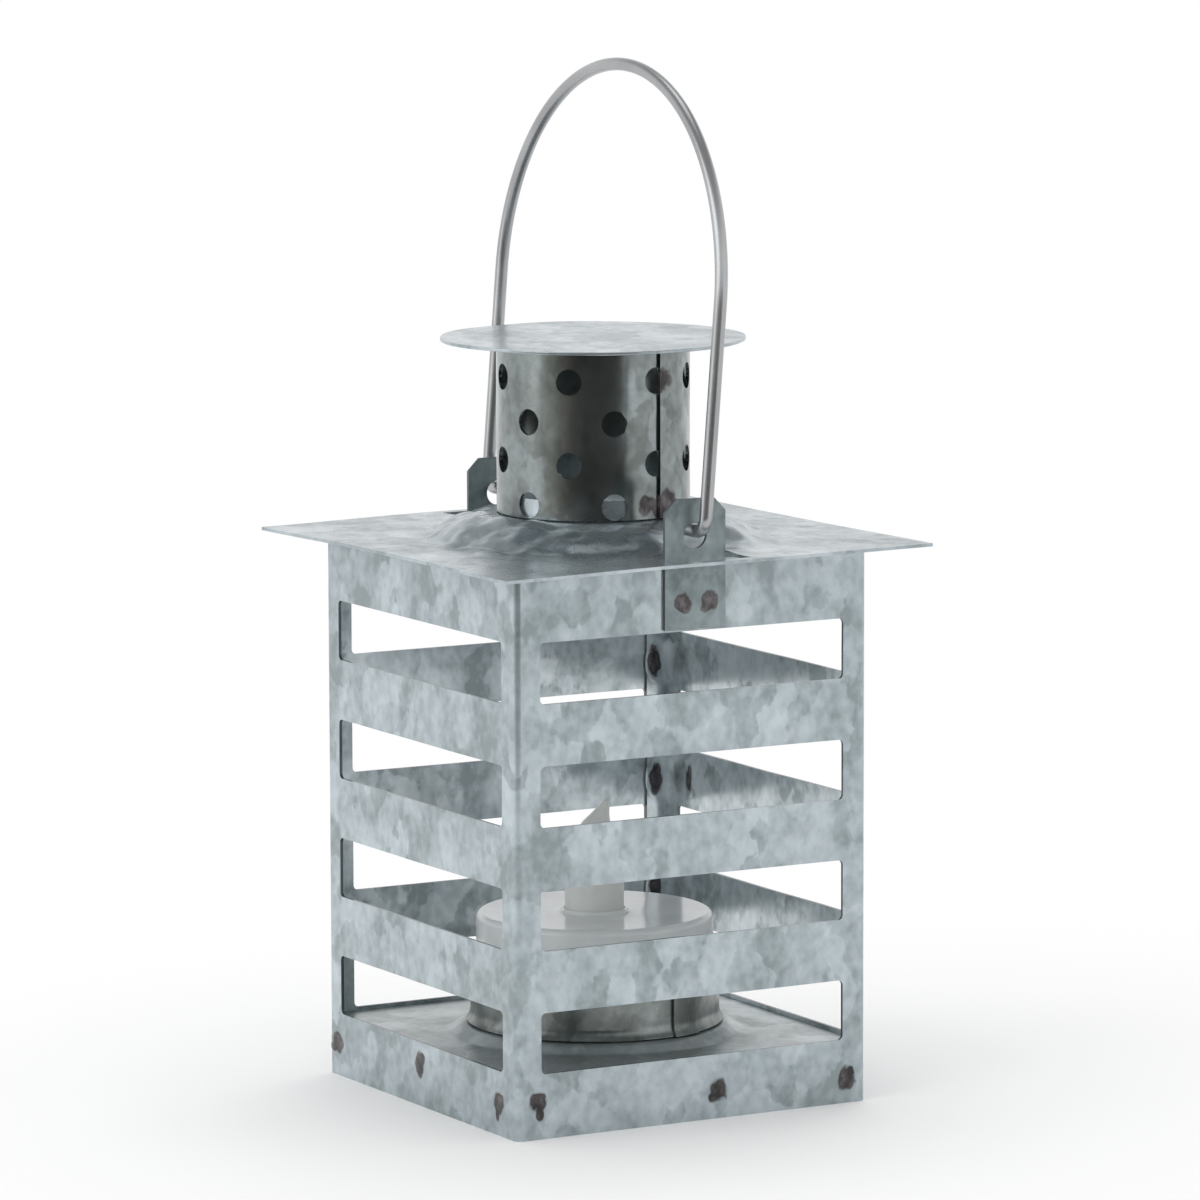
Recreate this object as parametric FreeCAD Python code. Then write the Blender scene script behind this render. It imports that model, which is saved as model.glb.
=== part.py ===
import FreeCAD, Part
import math
import os

# Small square candle lantern of galvanised sheet, with a wire bail, a lift-off roof and an electric tea light.
# Origin: centre of the bottom rim, on the standing surface. +Z up, bail pivot along X. Millimetres and degrees.

# Body: one sheet folded into a square tube, with rows of window slots
SHEET = 0.5
BODY_SIDE = 62.0
BEND_RADIUS = 1.2
BOTTOM_BAND = 10.05
TOP_BAND = 10.85
SLOT_ROWS = 4
SLOT_HEIGHT = 9.4
SLAT_HEIGHT = 9.5
SLOT_MARGIN = 4.3
SLOT_CORNER = 0.8
SEAM_STEP = 0.8
CUT_OVERRUN = 1.0

# Tray: pressed floor with a round raised step and four welded flanges
TRAY_DROP = 0.65
TRAY_FLANGE = 7.5
TRAY_PLAY = 0.05
STEP_RISE = 1.4
STEP_SLOPE = 3.1
STEP_LEDGE = 0.4

# Candle cup: a strip rolled into a ring, ends lapped
CUP_HEIGHT = 7.2
CUP_PLAY = 0.4
CUP_SEAM_ANGLE = 8.6
CUP_LAP_ANGLE = 14.0

# Ears: flat strips welded outside two walls
EAR_WIDTH = 10.7
EAR_THICKNESS = 0.6
EAR_WELD_LENGTH = 10.5
EAR_CLIP = 2.0
EAR_EYE_MARGIN = 3.75
EYE_LIFT = 3.3
EYE_PLAY = 1.9
EYE_SEAT_GAP = 0.25

# Bail: round wire with straight legs, a half-round top and ends hooked in through the ears
WIRE_DIAMETER = 2.0
BAIL_STANDOFF = 1.9
BAIL_TAIL = 2.8
BAIL_LEG = 34.7
BAIL_BEND = 2.4
BAIL_LEAN = 4.5

# Roof: square plate with a pressed dome, a collar for the chimney and two slots for ears and bail
ROOF_SLOT_GAP = 0.3
ROOF_SLOT_REACH = 0.6
ROOF_SLOT_PLAY = 1.05
ROOF_RIM = 2.0
ROOF_TURN = 1.6
DOME_MARGIN = 1.7
DOME_RISE = 3.7
COLLAR_HEIGHT = 3.2
COLLAR_PLAY = 0.05

# Chimney: rolled sheet, lapped, with staggered rows of round vent holes, and its flat cap
CHIMNEY_DIAMETER = 30.1
CHIMNEY_HEIGHT = 26.8
CHIMNEY_SEAM_ANGLE = 10.8
CHIMNEY_LAP_ANGLE = 20.0
VENT_DIAMETER = 4.05
VENT_ROWS = 4
VENT_COUNT = 7
VENT_ROW_PITCH = 6.43
VENT_TOP_DROP = 5.2
VENT_PITCH_ANGLE = 54.2
VENT_FIRST_ANGLE = 8.8
CAP_DIAMETER = 47.5

# Tea light housing and its flame
CANDLE_DIAMETER = 37.3
CANDLE_HEIGHT = 17.3
CANDLE_WALL = 1.2
CANDLE_EDGE = 1.0
FLAME_DIAMETER = 9.3
FLAME_HEIGHT = 17.7
FLAME_STEM = 6.2
FLAME_TIP_SHIFT = 2.1
FLAME_TURN = 60.6
FLAME_FLANGE = 1.4
FLAME_FLANGE_DEPTH = 0.8
FLAME_RING_WIDTH = 0.7
FLAME_RING_HEIGHT = 0.5
MOULD_PLAY = 0.1

# Light source and battery
LED_DIAMETER = 5.0
LED_LENGTH = 7.6
LED_RIM = 0.4
LED_RIM_DEPTH = 1.0
LED_LEAD_PITCH = 2.54
LEAD_DIAMETER = 0.5
LEAD_DROP = 5.3
LEAD_BEND = 0.9
CELL_DIAMETER = 20.0
CELL_HEIGHT = 3.2
CELL_CAP_HEIGHT = 0.4
CELL_EDGE = 0.2
CELL_PLAY = 0.75
CELL_REST_GAP = 0.05
CONTACT_WIDTH = 4.0
CONTACT_THICKNESS = 0.3
CONTACT_TOE = 2.6

# Tea light base, battery door and switch
BASE_RECESS = 0.5
BASE_DEPTH = 3.0
POCKET_WALL = 1.2
POCKET_RISE = 2.7
DOOR_OVERLAP = 0.25
DOOR_DEPTH = 1.7
DOOR_PLAY = 0.2
DOOR_TAB_REACH = 1.0
DOOR_TAB_DEPTH = 0.7
DOOR_TAB_ANGLE = 24.0
DOOR_TURN = 35.0
COIN_SLOT_LENGTH = 12.0
COIN_SLOT_WIDTH = 1.6
COIN_SLOT_DEPTH = 0.9
COIN_SLOT_CORNER = 0.7
SWITCH_WIDTH = 2.0
SWITCH_LENGTH = 3.4
SWITCH_TRAVEL = 2.0
SWITCH_PLAY = 0.2
SWITCH_FLANGE = 0.45
SWITCH_FLANGE_DEPTH = 0.8
SWITCH_STAND = 0.35
GRIP_WIDTH = 0.35
GRIP_PITCH = 1.0
GRIP_DEPTH = 0.17
WIPER_WIDTH = 1.6

# Levels and radii worked out from the sizes above
X_AXIS = FreeCAD.Vector(1, 0, 0)
Y_AXIS = FreeCAD.Vector(0, 1, 0)
Z_AXIS = FreeCAD.Vector(0, 0, 1)
CENTRE = FreeCAD.Vector(0, 0, 0)

body_half = BODY_SIDE / 2
slot_pitch = SLOT_HEIGHT + SLAT_HEIGHT
body_height = BOTTOM_BAND + SLOT_ROWS * slot_pitch - SLAT_HEIGHT + TOP_BAND
lap_edge = body_half - SLOT_MARGIN

tray_top = BOTTOM_BAND - TRAY_DROP
tray_half = body_half - SHEET - TRAY_PLAY
candle_floor = tray_top + STEP_RISE
candle_radius = CANDLE_DIAMETER / 2
cup_inner = candle_radius + CUP_PLAY
cup_outer = cup_inner + SHEET
ledge_radius = cup_outer + SHEET + STEP_LEDGE
step_foot = ledge_radius + STEP_SLOPE

roof_top = body_height + SHEET
wire_radius = WIRE_DIAMETER / 2
eye_radius = wire_radius + EYE_PLAY / 2
eye_level = roof_top + EYE_LIFT
pivot_level = eye_level + EYE_PLAY / 2 - EYE_SEAT_GAP
ear_top = eye_level + eye_radius + EAR_EYE_MARGIN
leg_reach = body_half + EAR_THICKNESS + BAIL_STANDOFF + wire_radius
tail_reach = body_half - BAIL_TAIL

roof_slot_inner = tail_reach - ROOF_SLOT_GAP
roof_slot_outer = leg_reach + wire_radius + ROOF_SLOT_REACH
roof_half = roof_slot_outer + ROOF_RIM
dome_foot = roof_slot_inner - DOME_MARGIN
dome_top = roof_top + DOME_RISE
chimney_outer = CHIMNEY_DIAMETER / 2
chimney_inner = chimney_outer - SHEET
chimney_top = dome_top + CHIMNEY_HEIGHT

candle_top = candle_floor + CANDLE_HEIGHT
candle_inner = candle_radius - CANDLE_WALL
deck_under = candle_top - CANDLE_WALL
flame_radius = FLAME_DIAMETER / 2
led_seat = deck_under - FLAME_FLANGE_DEPTH
led_radius = LED_DIAMETER / 2
base_under = candle_floor + BASE_RECESS
base_top = base_under + BASE_DEPTH
cell_radius = CELL_DIAMETER / 2
pocket_inner = cell_radius + CELL_PLAY
pocket_outer = pocket_inner + POCKET_WALL
pocket_top = base_top + POCKET_RISE
door_radius = pocket_inner + DOOR_OVERLAP
door_top = base_under + DOOR_DEPTH
cell_under = door_top + CELL_REST_GAP
cell_top = cell_under + CELL_HEIGHT
lead_foot = pocket_top + CONTACT_THICKNESS
contact_reach = pocket_outer + CONTACT_TOE
groove_radius = door_radius + DOOR_TAB_REACH + DOOR_PLAY
switch_reach = (SWITCH_LENGTH + SWITCH_TRAVEL) / 2 + SWITCH_PLAY
switch_centre = (groove_radius + math.sqrt(candle_inner ** 2 - switch_reach ** 2)) / 2


def box(low, high):
    """Block between two corners."""
    size = [b - a for a, b in zip(low, high)]
    return Part.makeBox(size[0], size[1], size[2], FreeCAD.Vector(*low))


def cylinder(radius, low, high):
    """Upright cylinder between two levels, on the lantern's axis."""
    return Part.makeCylinder(radius, high - low, FreeCAD.Vector(0, 0, low))


def ring(inner, outer, low, high):
    """Upright tube between two levels."""
    return cylinder(outer, low, high).cut(cylinder(inner, low, high))


def sector(inner, outer, low, high, start, sweep):
    """Part of a tube, from a start angle through a sweep."""
    at = FreeCAD.Vector(0, 0, low)
    piece = Part.makeCylinder(outer, high - low, at, Z_AXIS, sweep)
    piece = piece.cut(cylinder(inner, low, high))
    piece.rotate(CENTRE, Z_AXIS, start)
    return piece


def edges_along(shape, axis):
    """Straight edges that run along an axis."""
    found = []
    for edge in shape.Edges:
        run = edge.valueAt(edge.LastParameter) - edge.valueAt(edge.FirstParameter)
        if run.Length > 0 and abs(run.normalize().dot(axis)) > 0.999:
            found.append(edge)
    return found


def rounded_box(low, high, axis, radius):
    """Block whose edges along one axis are rounded."""
    block = box(low, high)
    return block.makeFillet(radius, edges_along(block, axis))


def turned(profile):
    """Solid made by turning a closed profile, a list of edges in the XZ plane, about Z."""
    face = Part.Face(Part.Wire(profile))
    return face.revolve(CENTRE, Z_AXIS, 360)


def line(start, end):
    """Straight edge in the XZ plane."""
    first = FreeCAD.Vector(start[0], 0, start[1])
    last = FreeCAD.Vector(end[0], 0, end[1])
    return Part.LineSegment(first, last).toShape()


def curve(start, middle, end):
    """Circular arc in the XZ plane through three points."""
    points = [FreeCAD.Vector(x, 0, z) for x, z in (start, middle, end)]
    return Part.Arc(*points).toShape()


def bent_strip(outline, width):
    """Strip of metal with a side outline in the XZ plane, centred on the XZ plane."""
    points = [FreeCAD.Vector(x, -width / 2, z) for x, z in outline]
    face = Part.Face(Part.makePolygon(points + points[:1]))
    return face.extrude(FreeCAD.Vector(0, width, 0))


def swept_wire(edges, radius):
    """Round wire along a path of edges in the XZ plane."""
    path = Part.Wire(edges)
    start = path.OrderedVertexes[0].Point
    first = path.OrderedEdges[0]
    heading = first.tangentAt(first.FirstParameter)
    section = Part.Wire(Part.makeCircle(radius, start, heading))
    return path.makePipeShell([section], True, True)


def body_shell():
    """Square tube with window slots, and a lap flange inside one corner where the sheet's ends meet."""
    outer = rounded_box((-body_half, -body_half, 0), (body_half, body_half, body_height), Z_AXIS, BEND_RADIUS)
    inner_half = body_half - SHEET
    inner = rounded_box((-inner_half, -inner_half, 0), (inner_half, inner_half, body_height), Z_AXIS,
                        BEND_RADIUS - SHEET)
    shell = outer.cut(inner)
    shell = shell.cut(box((-body_half, body_half - SEAM_STEP, 0), (-inner_half, body_half, body_height)))
    lap_low = (-inner_half, lap_edge, 0)
    lap_high = (-inner_half + SHEET, inner_half + SHEET / 2, body_height)
    shell = shell.fuse(box(lap_low, lap_high)).removeSplitter()
    reach = body_half + CUT_OVERRUN
    for row in range(SLOT_ROWS):
        low = BOTTOM_BAND + row * slot_pitch
        high = low + SLOT_HEIGHT
        across_x = rounded_box((-reach, -lap_edge, low), (reach, lap_edge, high), X_AXIS, SLOT_CORNER)
        across_y = rounded_box((-lap_edge, -reach, low), (lap_edge, reach, high), Y_AXIS, SLOT_CORNER)
        shell = shell.cut(across_x).cut(across_y)
    return shell


def step_profile(level):
    """Half outline of the tray's pressed step at one face of the sheet, from the foot to the ledge."""
    ease = STEP_SLOPE / 2
    foot = (step_foot, level)
    bend = (step_foot - ease, level + STEP_RISE / 2)
    ledge = (ledge_radius, level + STEP_RISE)
    low_mid = (step_foot - 0.6 * ease, level + 0.16 * STEP_RISE)
    high_mid = (ledge_radius + 0.6 * ease, level + 0.84 * STEP_RISE)
    return [curve(foot, low_mid, bend), curve(bend, high_mid, ledge)]


def base_tray():
    """Floor plate with the round step pressed up in its middle and flanges turned down on its four sides."""
    under = tray_top - SHEET
    plate = rounded_box((-tray_half, -tray_half, under), (tray_half, tray_half, tray_top), Z_AXIS, BEND_RADIUS)
    notch_high = (-tray_half + SHEET + TRAY_PLAY, body_half, tray_top)
    notch = box((-body_half, lap_edge - TRAY_PLAY, under), notch_high)
    blend = step_foot + SHEET
    plate = plate.cut(notch).cut(cylinder(step_foot + SHEET / 2, under, tray_top))
    step = [line((blend, tray_top), (step_foot, tray_top))]
    step += step_profile(tray_top)
    step += [line((ledge_radius, candle_floor), (0, candle_floor))]
    step += [line((0, candle_floor), (0, candle_floor - SHEET))]
    step += [line((0, candle_floor - SHEET), (ledge_radius, candle_floor - SHEET))]
    step += step_profile(under)[::-1]
    step += [line((step_foot, under), (blend, under)), line((blend, under), (blend, tray_top))]
    tray = plate.fuse(turned(Part.__sortEdges__(step)))
    flange_half = lap_edge - 2 * TRAY_PLAY
    flange_low = tray_top - TRAY_FLANGE
    for turn in range(4):
        flange = box((tray_half - SHEET, -flange_half, flange_low), (tray_half, flange_half, tray_top))
        flange.rotate(CENTRE, Z_AXIS, 90 * turn)
        tray = tray.fuse(flange)
    return tray.removeSplitter()


def candle_cup():
    """Ring that holds the tea light, with one end of the strip lapped over the other."""
    top = candle_floor + CUP_HEIGHT
    hoop = ring(cup_inner, cup_outer, candle_floor, top)
    lap = sector(cup_outer - SHEET / 2, cup_outer + SHEET, candle_floor, top, CUP_SEAM_ANGLE, CUP_LAP_ANGLE)
    return hoop.fuse(lap).removeSplitter()


def ear(side):
    """Strip with clipped top corners and an eye for the bail, on the outside of one wall."""
    face = side * body_half
    half = EAR_WIDTH / 2
    foot = body_height - EAR_WELD_LENGTH
    outline = [(-half, foot), (half, foot), (half, ear_top - EAR_CLIP), (half - EAR_CLIP, ear_top)]
    outline += [(EAR_CLIP - half, ear_top), (-half, ear_top - EAR_CLIP)]
    points = [FreeCAD.Vector(face, y, z) for y, z in outline]
    strip = Part.Face(Part.makePolygon(points + points[:1])).extrude(X_AXIS * side * EAR_THICKNESS)
    eye = Part.makeCylinder(eye_radius, EAR_THICKNESS, FreeCAD.Vector(face, 0, eye_level), X_AXIS * side)
    return strip.cut(eye)


def bail():
    """Wire handle: a tail through each eye, a straight leg on each side and a half-round top."""
    spring = pivot_level + BAIL_LEG
    crown = spring + leg_reach
    hook = leg_reach - BAIL_BEND
    corner = BAIL_BEND * (1 - math.sqrt(0.5))
    path = []
    for side in (-1, 1):
        tail = [line((side * tail_reach, pivot_level), (side * hook, pivot_level))]
        tail += [curve((side * hook, pivot_level), (side * (leg_reach - corner), pivot_level + corner),
                       (side * leg_reach, pivot_level + BAIL_BEND))]
        tail += [line((side * leg_reach, pivot_level + BAIL_BEND), (side * leg_reach, spring))]
        path += tail
    path += [curve((-leg_reach, spring), (0, crown), (leg_reach, spring))]
    wire = swept_wire(Part.__sortEdges__(path), wire_radius)
    wire.rotate(FreeCAD.Vector(0, 0, pivot_level), X_AXIS, -BAIL_LEAN)
    return wire


def roof_turned(shape):
    """The loose roof lies turned a little, within the play of its slots on the ears."""
    shape.rotate(CENTRE, Z_AXIS, ROOF_TURN)
    return shape


def dome_profile(level, summit):
    """Half outline of the roof's dome at one face of the sheet, from the foot to the chimney's flat."""
    span = dome_foot - summit
    foot = (dome_foot, level)
    foot_mid = (dome_foot - 0.09 * span, level + 0.06 * DOME_RISE)
    bend = (dome_foot - 0.18 * span, level + 0.22 * DOME_RISE)
    crown_mid = (summit + 0.45 * span, level + 0.73 * DOME_RISE)
    crown = (summit, level + DOME_RISE)
    return [curve(foot, foot_mid, bend), curve(bend, crown_mid, crown)]


def roof_plate():
    """Square roof with a dome pressed up to the chimney, its hole turned up as a collar, and two slots."""
    under = body_height
    summit = chimney_outer + 2 * SHEET
    collar_outer = chimney_inner - COLLAR_PLAY
    collar_inner = collar_outer - SHEET
    collar_top = dome_top + COLLAR_HEIGHT
    blend = dome_foot + SHEET
    plate = box((-roof_half, -roof_half, under), (roof_half, roof_half, roof_top))
    plate = plate.cut(cylinder(dome_foot + SHEET / 2, under, roof_top))
    dome = [line((blend, roof_top), (dome_foot, roof_top))]
    dome += dome_profile(roof_top, summit)
    dome += [line((summit, dome_top), (collar_outer, dome_top))]
    dome += [line((collar_outer, dome_top), (collar_outer, collar_top))]
    dome += [line((collar_outer, collar_top), (collar_inner, collar_top))]
    dome += [line((collar_inner, collar_top), (collar_inner, dome_top - SHEET))]
    dome += [line((collar_inner, dome_top - SHEET), (summit, dome_top - SHEET))]
    dome += dome_profile(under, summit)[::-1]
    dome += [line((dome_foot, under), (blend, under)), line((blend, under), (blend, roof_top))]
    roof = plate.fuse(turned(Part.__sortEdges__(dome))).removeSplitter()
    slot_half = EAR_WIDTH / 2 + ROOF_SLOT_PLAY
    for side in (-1, 1):
        reach = sorted((side * roof_slot_inner, side * roof_slot_outer))
        roof = roof.cut(box((reach[0], -slot_half, under), (reach[1], slot_half, roof_top)))
    return roof_turned(roof)


def chimney():
    """Rolled tube with staggered rows of vent holes, one end of the sheet lapped over the other."""
    tube = ring(chimney_inner, chimney_outer, dome_top, chimney_top)
    for row in range(VENT_ROWS):
        level = chimney_top - VENT_TOP_DROP - row * VENT_ROW_PITCH
        staggered = row % 2
        first = VENT_FIRST_ANGLE - staggered * VENT_PITCH_ANGLE / 2
        for count in range(VENT_COUNT - staggered):
            vent = Part.makeCylinder(VENT_DIAMETER / 2, CHIMNEY_DIAMETER, FreeCAD.Vector(0, 0, level), X_AXIS)
            vent.rotate(CENTRE, Z_AXIS, first - count * VENT_PITCH_ANGLE)
            tube = tube.cut(vent)
    lap = sector(chimney_outer, chimney_outer + SHEET, dome_top, chimney_top,
                 CHIMNEY_SEAM_ANGLE, CHIMNEY_LAP_ANGLE)
    return roof_turned(tube.fuse(lap).removeSplitter())


def chimney_cap():
    """Flat round cap welded on the chimney."""
    return cylinder(CAP_DIAMETER / 2, chimney_top, chimney_top + SHEET)


def candle_shell():
    """Tea light housing: an upturned cup, its deck pierced for the flame, with a low ring round the hole."""
    outer = cylinder(candle_radius, candle_floor, candle_top)
    rim = [edge for edge in outer.Edges if edge.Closed and edge.CenterOfMass.z > deck_under]
    shell = outer.makeFillet(CANDLE_EDGE, rim)
    shell = shell.fuse(cylinder(flame_radius + FLAME_RING_WIDTH, deck_under, candle_top + FLAME_RING_HEIGHT))
    shell = shell.cut(cylinder(candle_inner, candle_floor, deck_under))
    return shell.cut(cylinder(flame_radius + MOULD_PLAY, deck_under, candle_top + FLAME_RING_HEIGHT))


def flame_lens():
    """Clear flame: a stem that narrows to a tip bent to one side, a flange under the deck, a bore below."""
    stem_top = candle_top + FLAME_STEM
    taper = FLAME_HEIGHT - FLAME_STEM
    # each section: share of the taper's height, of the flame's radius and of the tip's shift
    sections = [(0.0, 1.0, 0.0), (0.31, 0.86, 0.05), (0.615, 0.55, 0.06), (0.83, 0.27, 0.6), (1.0, 0.07, 1.0)]
    rings = []
    for height, width, shift in sections:
        at = FreeCAD.Vector(shift * FLAME_TIP_SHIFT, 0, stem_top + height * taper)
        rings.append(Part.Wire(Part.makeCircle(width * flame_radius, at, Z_AXIS)))
    flame = Part.makeLoft(rings, True)
    flame = flame.fuse(cylinder(flame_radius, led_seat, stem_top))
    flame = flame.fuse(cylinder(flame_radius + FLAME_FLANGE, led_seat, deck_under)).removeSplitter()
    bore = led_radius + MOULD_PLAY
    bore_top = led_seat + LED_LENGTH - led_radius + MOULD_PLAY
    flame = flame.cut(cylinder(bore, led_seat, bore_top))
    flame = flame.cut(Part.makeSphere(bore, FreeCAD.Vector(0, 0, bore_top)))
    flame.rotate(CENTRE, Z_AXIS, FLAME_TURN)
    return flame


def led_bulb():
    """Round-nosed lamp with a rim that seats under the flame."""
    nose = led_seat + LED_LENGTH - led_radius
    lamp = cylinder(led_radius, led_seat - LED_RIM_DEPTH, nose)
    lamp = lamp.fuse(Part.makeSphere(led_radius, FreeCAD.Vector(0, 0, nose)))
    rim = cylinder(led_radius + LED_RIM, led_seat - LED_RIM_DEPTH, led_seat)
    return lamp.fuse(rim).removeSplitter()


def led_leads():
    """Two stiff leads from the lamp, bent out and down to the battery contacts."""
    start = led_seat - LED_RIM_DEPTH
    level = start - LEAD_DROP
    inner = LED_LEAD_PITCH / 2
    reach = contact_reach - LEAD_BEND
    corner = LEAD_BEND * (1 - math.sqrt(0.5))
    leads = []
    for side in (-1, 1):
        path = [line((side * inner, start), (side * inner, level + LEAD_BEND))]
        path += [curve((side * inner, level + LEAD_BEND), (side * (inner + corner), level + corner),
                       (side * (inner + LEAD_BEND), level))]
        path += [line((side * (inner + LEAD_BEND), level), (side * (reach - LEAD_BEND), level))]
        path += [curve((side * (reach - LEAD_BEND), level), (side * (reach - corner), level - corner),
                       (side * reach, level - LEAD_BEND))]
        path += [line((side * reach, level - LEAD_BEND), (side * reach, lead_foot))]
        leads.append(swept_wire(path, LEAD_DIAMETER / 2))
    return Part.makeCompound(leads)


def positive_contact():
    """Angle strip that stands beside the cell and folds out over the pocket's wall."""
    inner = cell_radius + CELL_REST_GAP
    outer = inner + CONTACT_THICKNESS
    outline = [(inner, cell_under), (outer, cell_under), (outer, pocket_top), (contact_reach, pocket_top)]
    outline += [(contact_reach, lead_foot), (inner, lead_foot)]
    return bent_strip(outline, CONTACT_WIDTH)


def negative_contact():
    """Leaf strip from the pocket's wall that presses on top of the cell."""
    touch = cell_top + CELL_REST_GAP
    knee = pocket_inner - CONTACT_THICKNESS
    bend = knee / 2
    outline = [(-contact_reach, pocket_top), (-knee, pocket_top), (-bend, touch), (0, touch)]
    outline += [(0, touch + CONTACT_THICKNESS), (-bend, touch + CONTACT_THICKNESS), (-knee, lead_foot)]
    outline += [(-contact_reach, lead_foot)]
    return bent_strip(outline, CONTACT_WIDTH)


def coin_cell():
    """Button cell: a can with a narrower cap on top."""
    step = cell_top - CELL_CAP_HEIGHT
    can = cylinder(cell_radius, cell_under, step)
    lip = [edge for edge in can.Edges if edge.Closed and edge.CenterOfMass.z < (cell_under + step) / 2]
    can = can.makeFillet(CELL_EDGE, lip)
    return can.fuse(cylinder(cell_radius - CELL_PLAY, step, cell_top)).removeSplitter()


def switch_window():
    """Opening in the tea light's base that the switch slides in."""
    wide = SWITCH_WIDTH / 2 + SWITCH_PLAY
    low = (-switch_centre - wide, -switch_reach, base_under)
    return box(low, (-switch_centre + wide, switch_reach, base_top))


def candle_base():
    """Bottom plug of the tea light: the cell's pocket, a grooved hole for the door, the switch's window."""
    plug = cylinder(candle_inner - MOULD_PLAY, base_under, base_top)
    plug = plug.fuse(cylinder(pocket_outer, base_top, pocket_top))
    plug = plug.cut(cylinder(pocket_inner, base_under, pocket_top))
    ceiling = door_top + CELL_REST_GAP
    plug = plug.cut(cylinder(door_radius + DOOR_PLAY, base_under, ceiling))
    tab_low = door_top - DOOR_TAB_DEPTH - DOOR_PLAY
    plug = plug.cut(ring(door_radius, groove_radius, tab_low, ceiling))
    entry = DOOR_TAB_ANGLE + 2 * math.degrees(DOOR_PLAY / door_radius)
    for side in (0, 180):
        start = side + DOOR_TURN - entry / 2
        plug = plug.cut(sector(door_radius, groove_radius, base_under, ceiling, start, entry))
    return plug.cut(switch_window())


def battery_door():
    """Round door with a coin slot below and two tabs that turn into the base's groove."""
    door = cylinder(door_radius, base_under, door_top)
    half = COIN_SLOT_LENGTH / 2
    slot = rounded_box((-half, -COIN_SLOT_WIDTH / 2, base_under),
                       (half, COIN_SLOT_WIDTH / 2, base_under + COIN_SLOT_DEPTH), Z_AXIS, COIN_SLOT_CORNER)
    door = door.cut(slot)
    for side in (0, 180):
        tab = sector(door_radius - DOOR_PLAY, door_radius + DOOR_TAB_REACH, door_top - DOOR_TAB_DEPTH, door_top,
                     side - DOOR_TAB_ANGLE / 2, DOOR_TAB_ANGLE)
        door = door.fuse(tab)
    return door.removeSplitter()


def switch_slider():
    """Sliding knob through the base's window, with a flange on the inside."""
    rest = -SWITCH_TRAVEL / 2
    wide = SWITCH_WIDTH / 2
    long = SWITCH_LENGTH / 2
    foot = base_under - SWITCH_STAND
    flange_low = base_top + CELL_REST_GAP
    flange_high = flange_low + SWITCH_FLANGE_DEPTH
    knob = box((-switch_centre - wide, rest - long, foot), (-switch_centre + wide, rest + long, flange_high))
    spread = SWITCH_FLANGE
    flange = box((-switch_centre - wide - spread, rest - long - spread, flange_low),
                 (-switch_centre + wide + spread, rest + long + spread, flange_high))
    slider = knob.fuse(flange).removeSplitter()
    for step in (-1, 0, 1):
        y = rest + step * GRIP_PITCH
        slider = slider.cut(box((-switch_centre - wide, y - GRIP_WIDTH / 2, foot),
                                (-switch_centre + wide, y + GRIP_WIDTH / 2, foot + GRIP_DEPTH)))
    return slider


def switch_wiper():
    """Sprung strip on the switch that bridges the contacts."""
    rest = -SWITCH_TRAVEL / 2
    low = base_top + CELL_REST_GAP + SWITCH_FLANGE_DEPTH
    half = SWITCH_LENGTH / 2
    rise = 2 * CONTACT_THICKNESS
    outline = [(-half, low), (half, low), (half, low + CONTACT_THICKNESS), (half / 2, low + CONTACT_THICKNESS)]
    outline += [(0, low + rise), (-half / 2, low + CONTACT_THICKNESS), (-half, low + CONTACT_THICKNESS)]
    strip = bent_strip(outline, WIPER_WIDTH)
    strip.rotate(CENTRE, Z_AXIS, 90)
    strip.translate(FreeCAD.Vector(-switch_centre, rest, 0))
    return strip


NODES = {
    "body_shell": body_shell(),
    "base_tray": base_tray(),
    "candle_cup": candle_cup(),
    "ear_right": ear(1),
    "ear_left": ear(-1),
    "roof_plate": roof_plate(),
    "chimney": chimney(),
    "chimney_cap": chimney_cap(),
    "bail": bail(),
    "candle_shell": candle_shell(),
    "candle_base": candle_base(),
    "flame_lens": flame_lens(),
    "led_bulb": led_bulb(),
    "led_leads": led_leads(),
    "positive_contact": positive_contact(),
    "negative_contact": negative_contact(),
    "coin_cell": coin_cell(),
    "battery_door": battery_door(),
    "switch_slider": switch_slider(),
    "switch_wiper": switch_wiper(),
}

os.makedirs("parts", exist_ok=True)
for name, shape in NODES.items():
    shape.exportStep(os.path.join("parts", name + ".step"))
    print(name, "solids", len(shape.Solids), "volume", round(shape.Volume, 2), "valid", shape.isValid())
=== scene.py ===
# %% [markdown]
# # A candle lantern of galvanised sheet
# The lantern is a square box of thin zinc-coated sheet with rows of window slots, a loose roof with a
# pressed dome, a vented chimney, a wire handle and an electric tea light. The CAD frame holds every piece at
# its true size. This lesson gives the visible ones the look of real sheet: rolled edges, lumps from the
# press, lapped seams, burns at the spot welds and mottled zinc.

from math import cos, hypot, pi, radians, sin

import bpy
from mathutils import Matrix, Vector


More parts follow.
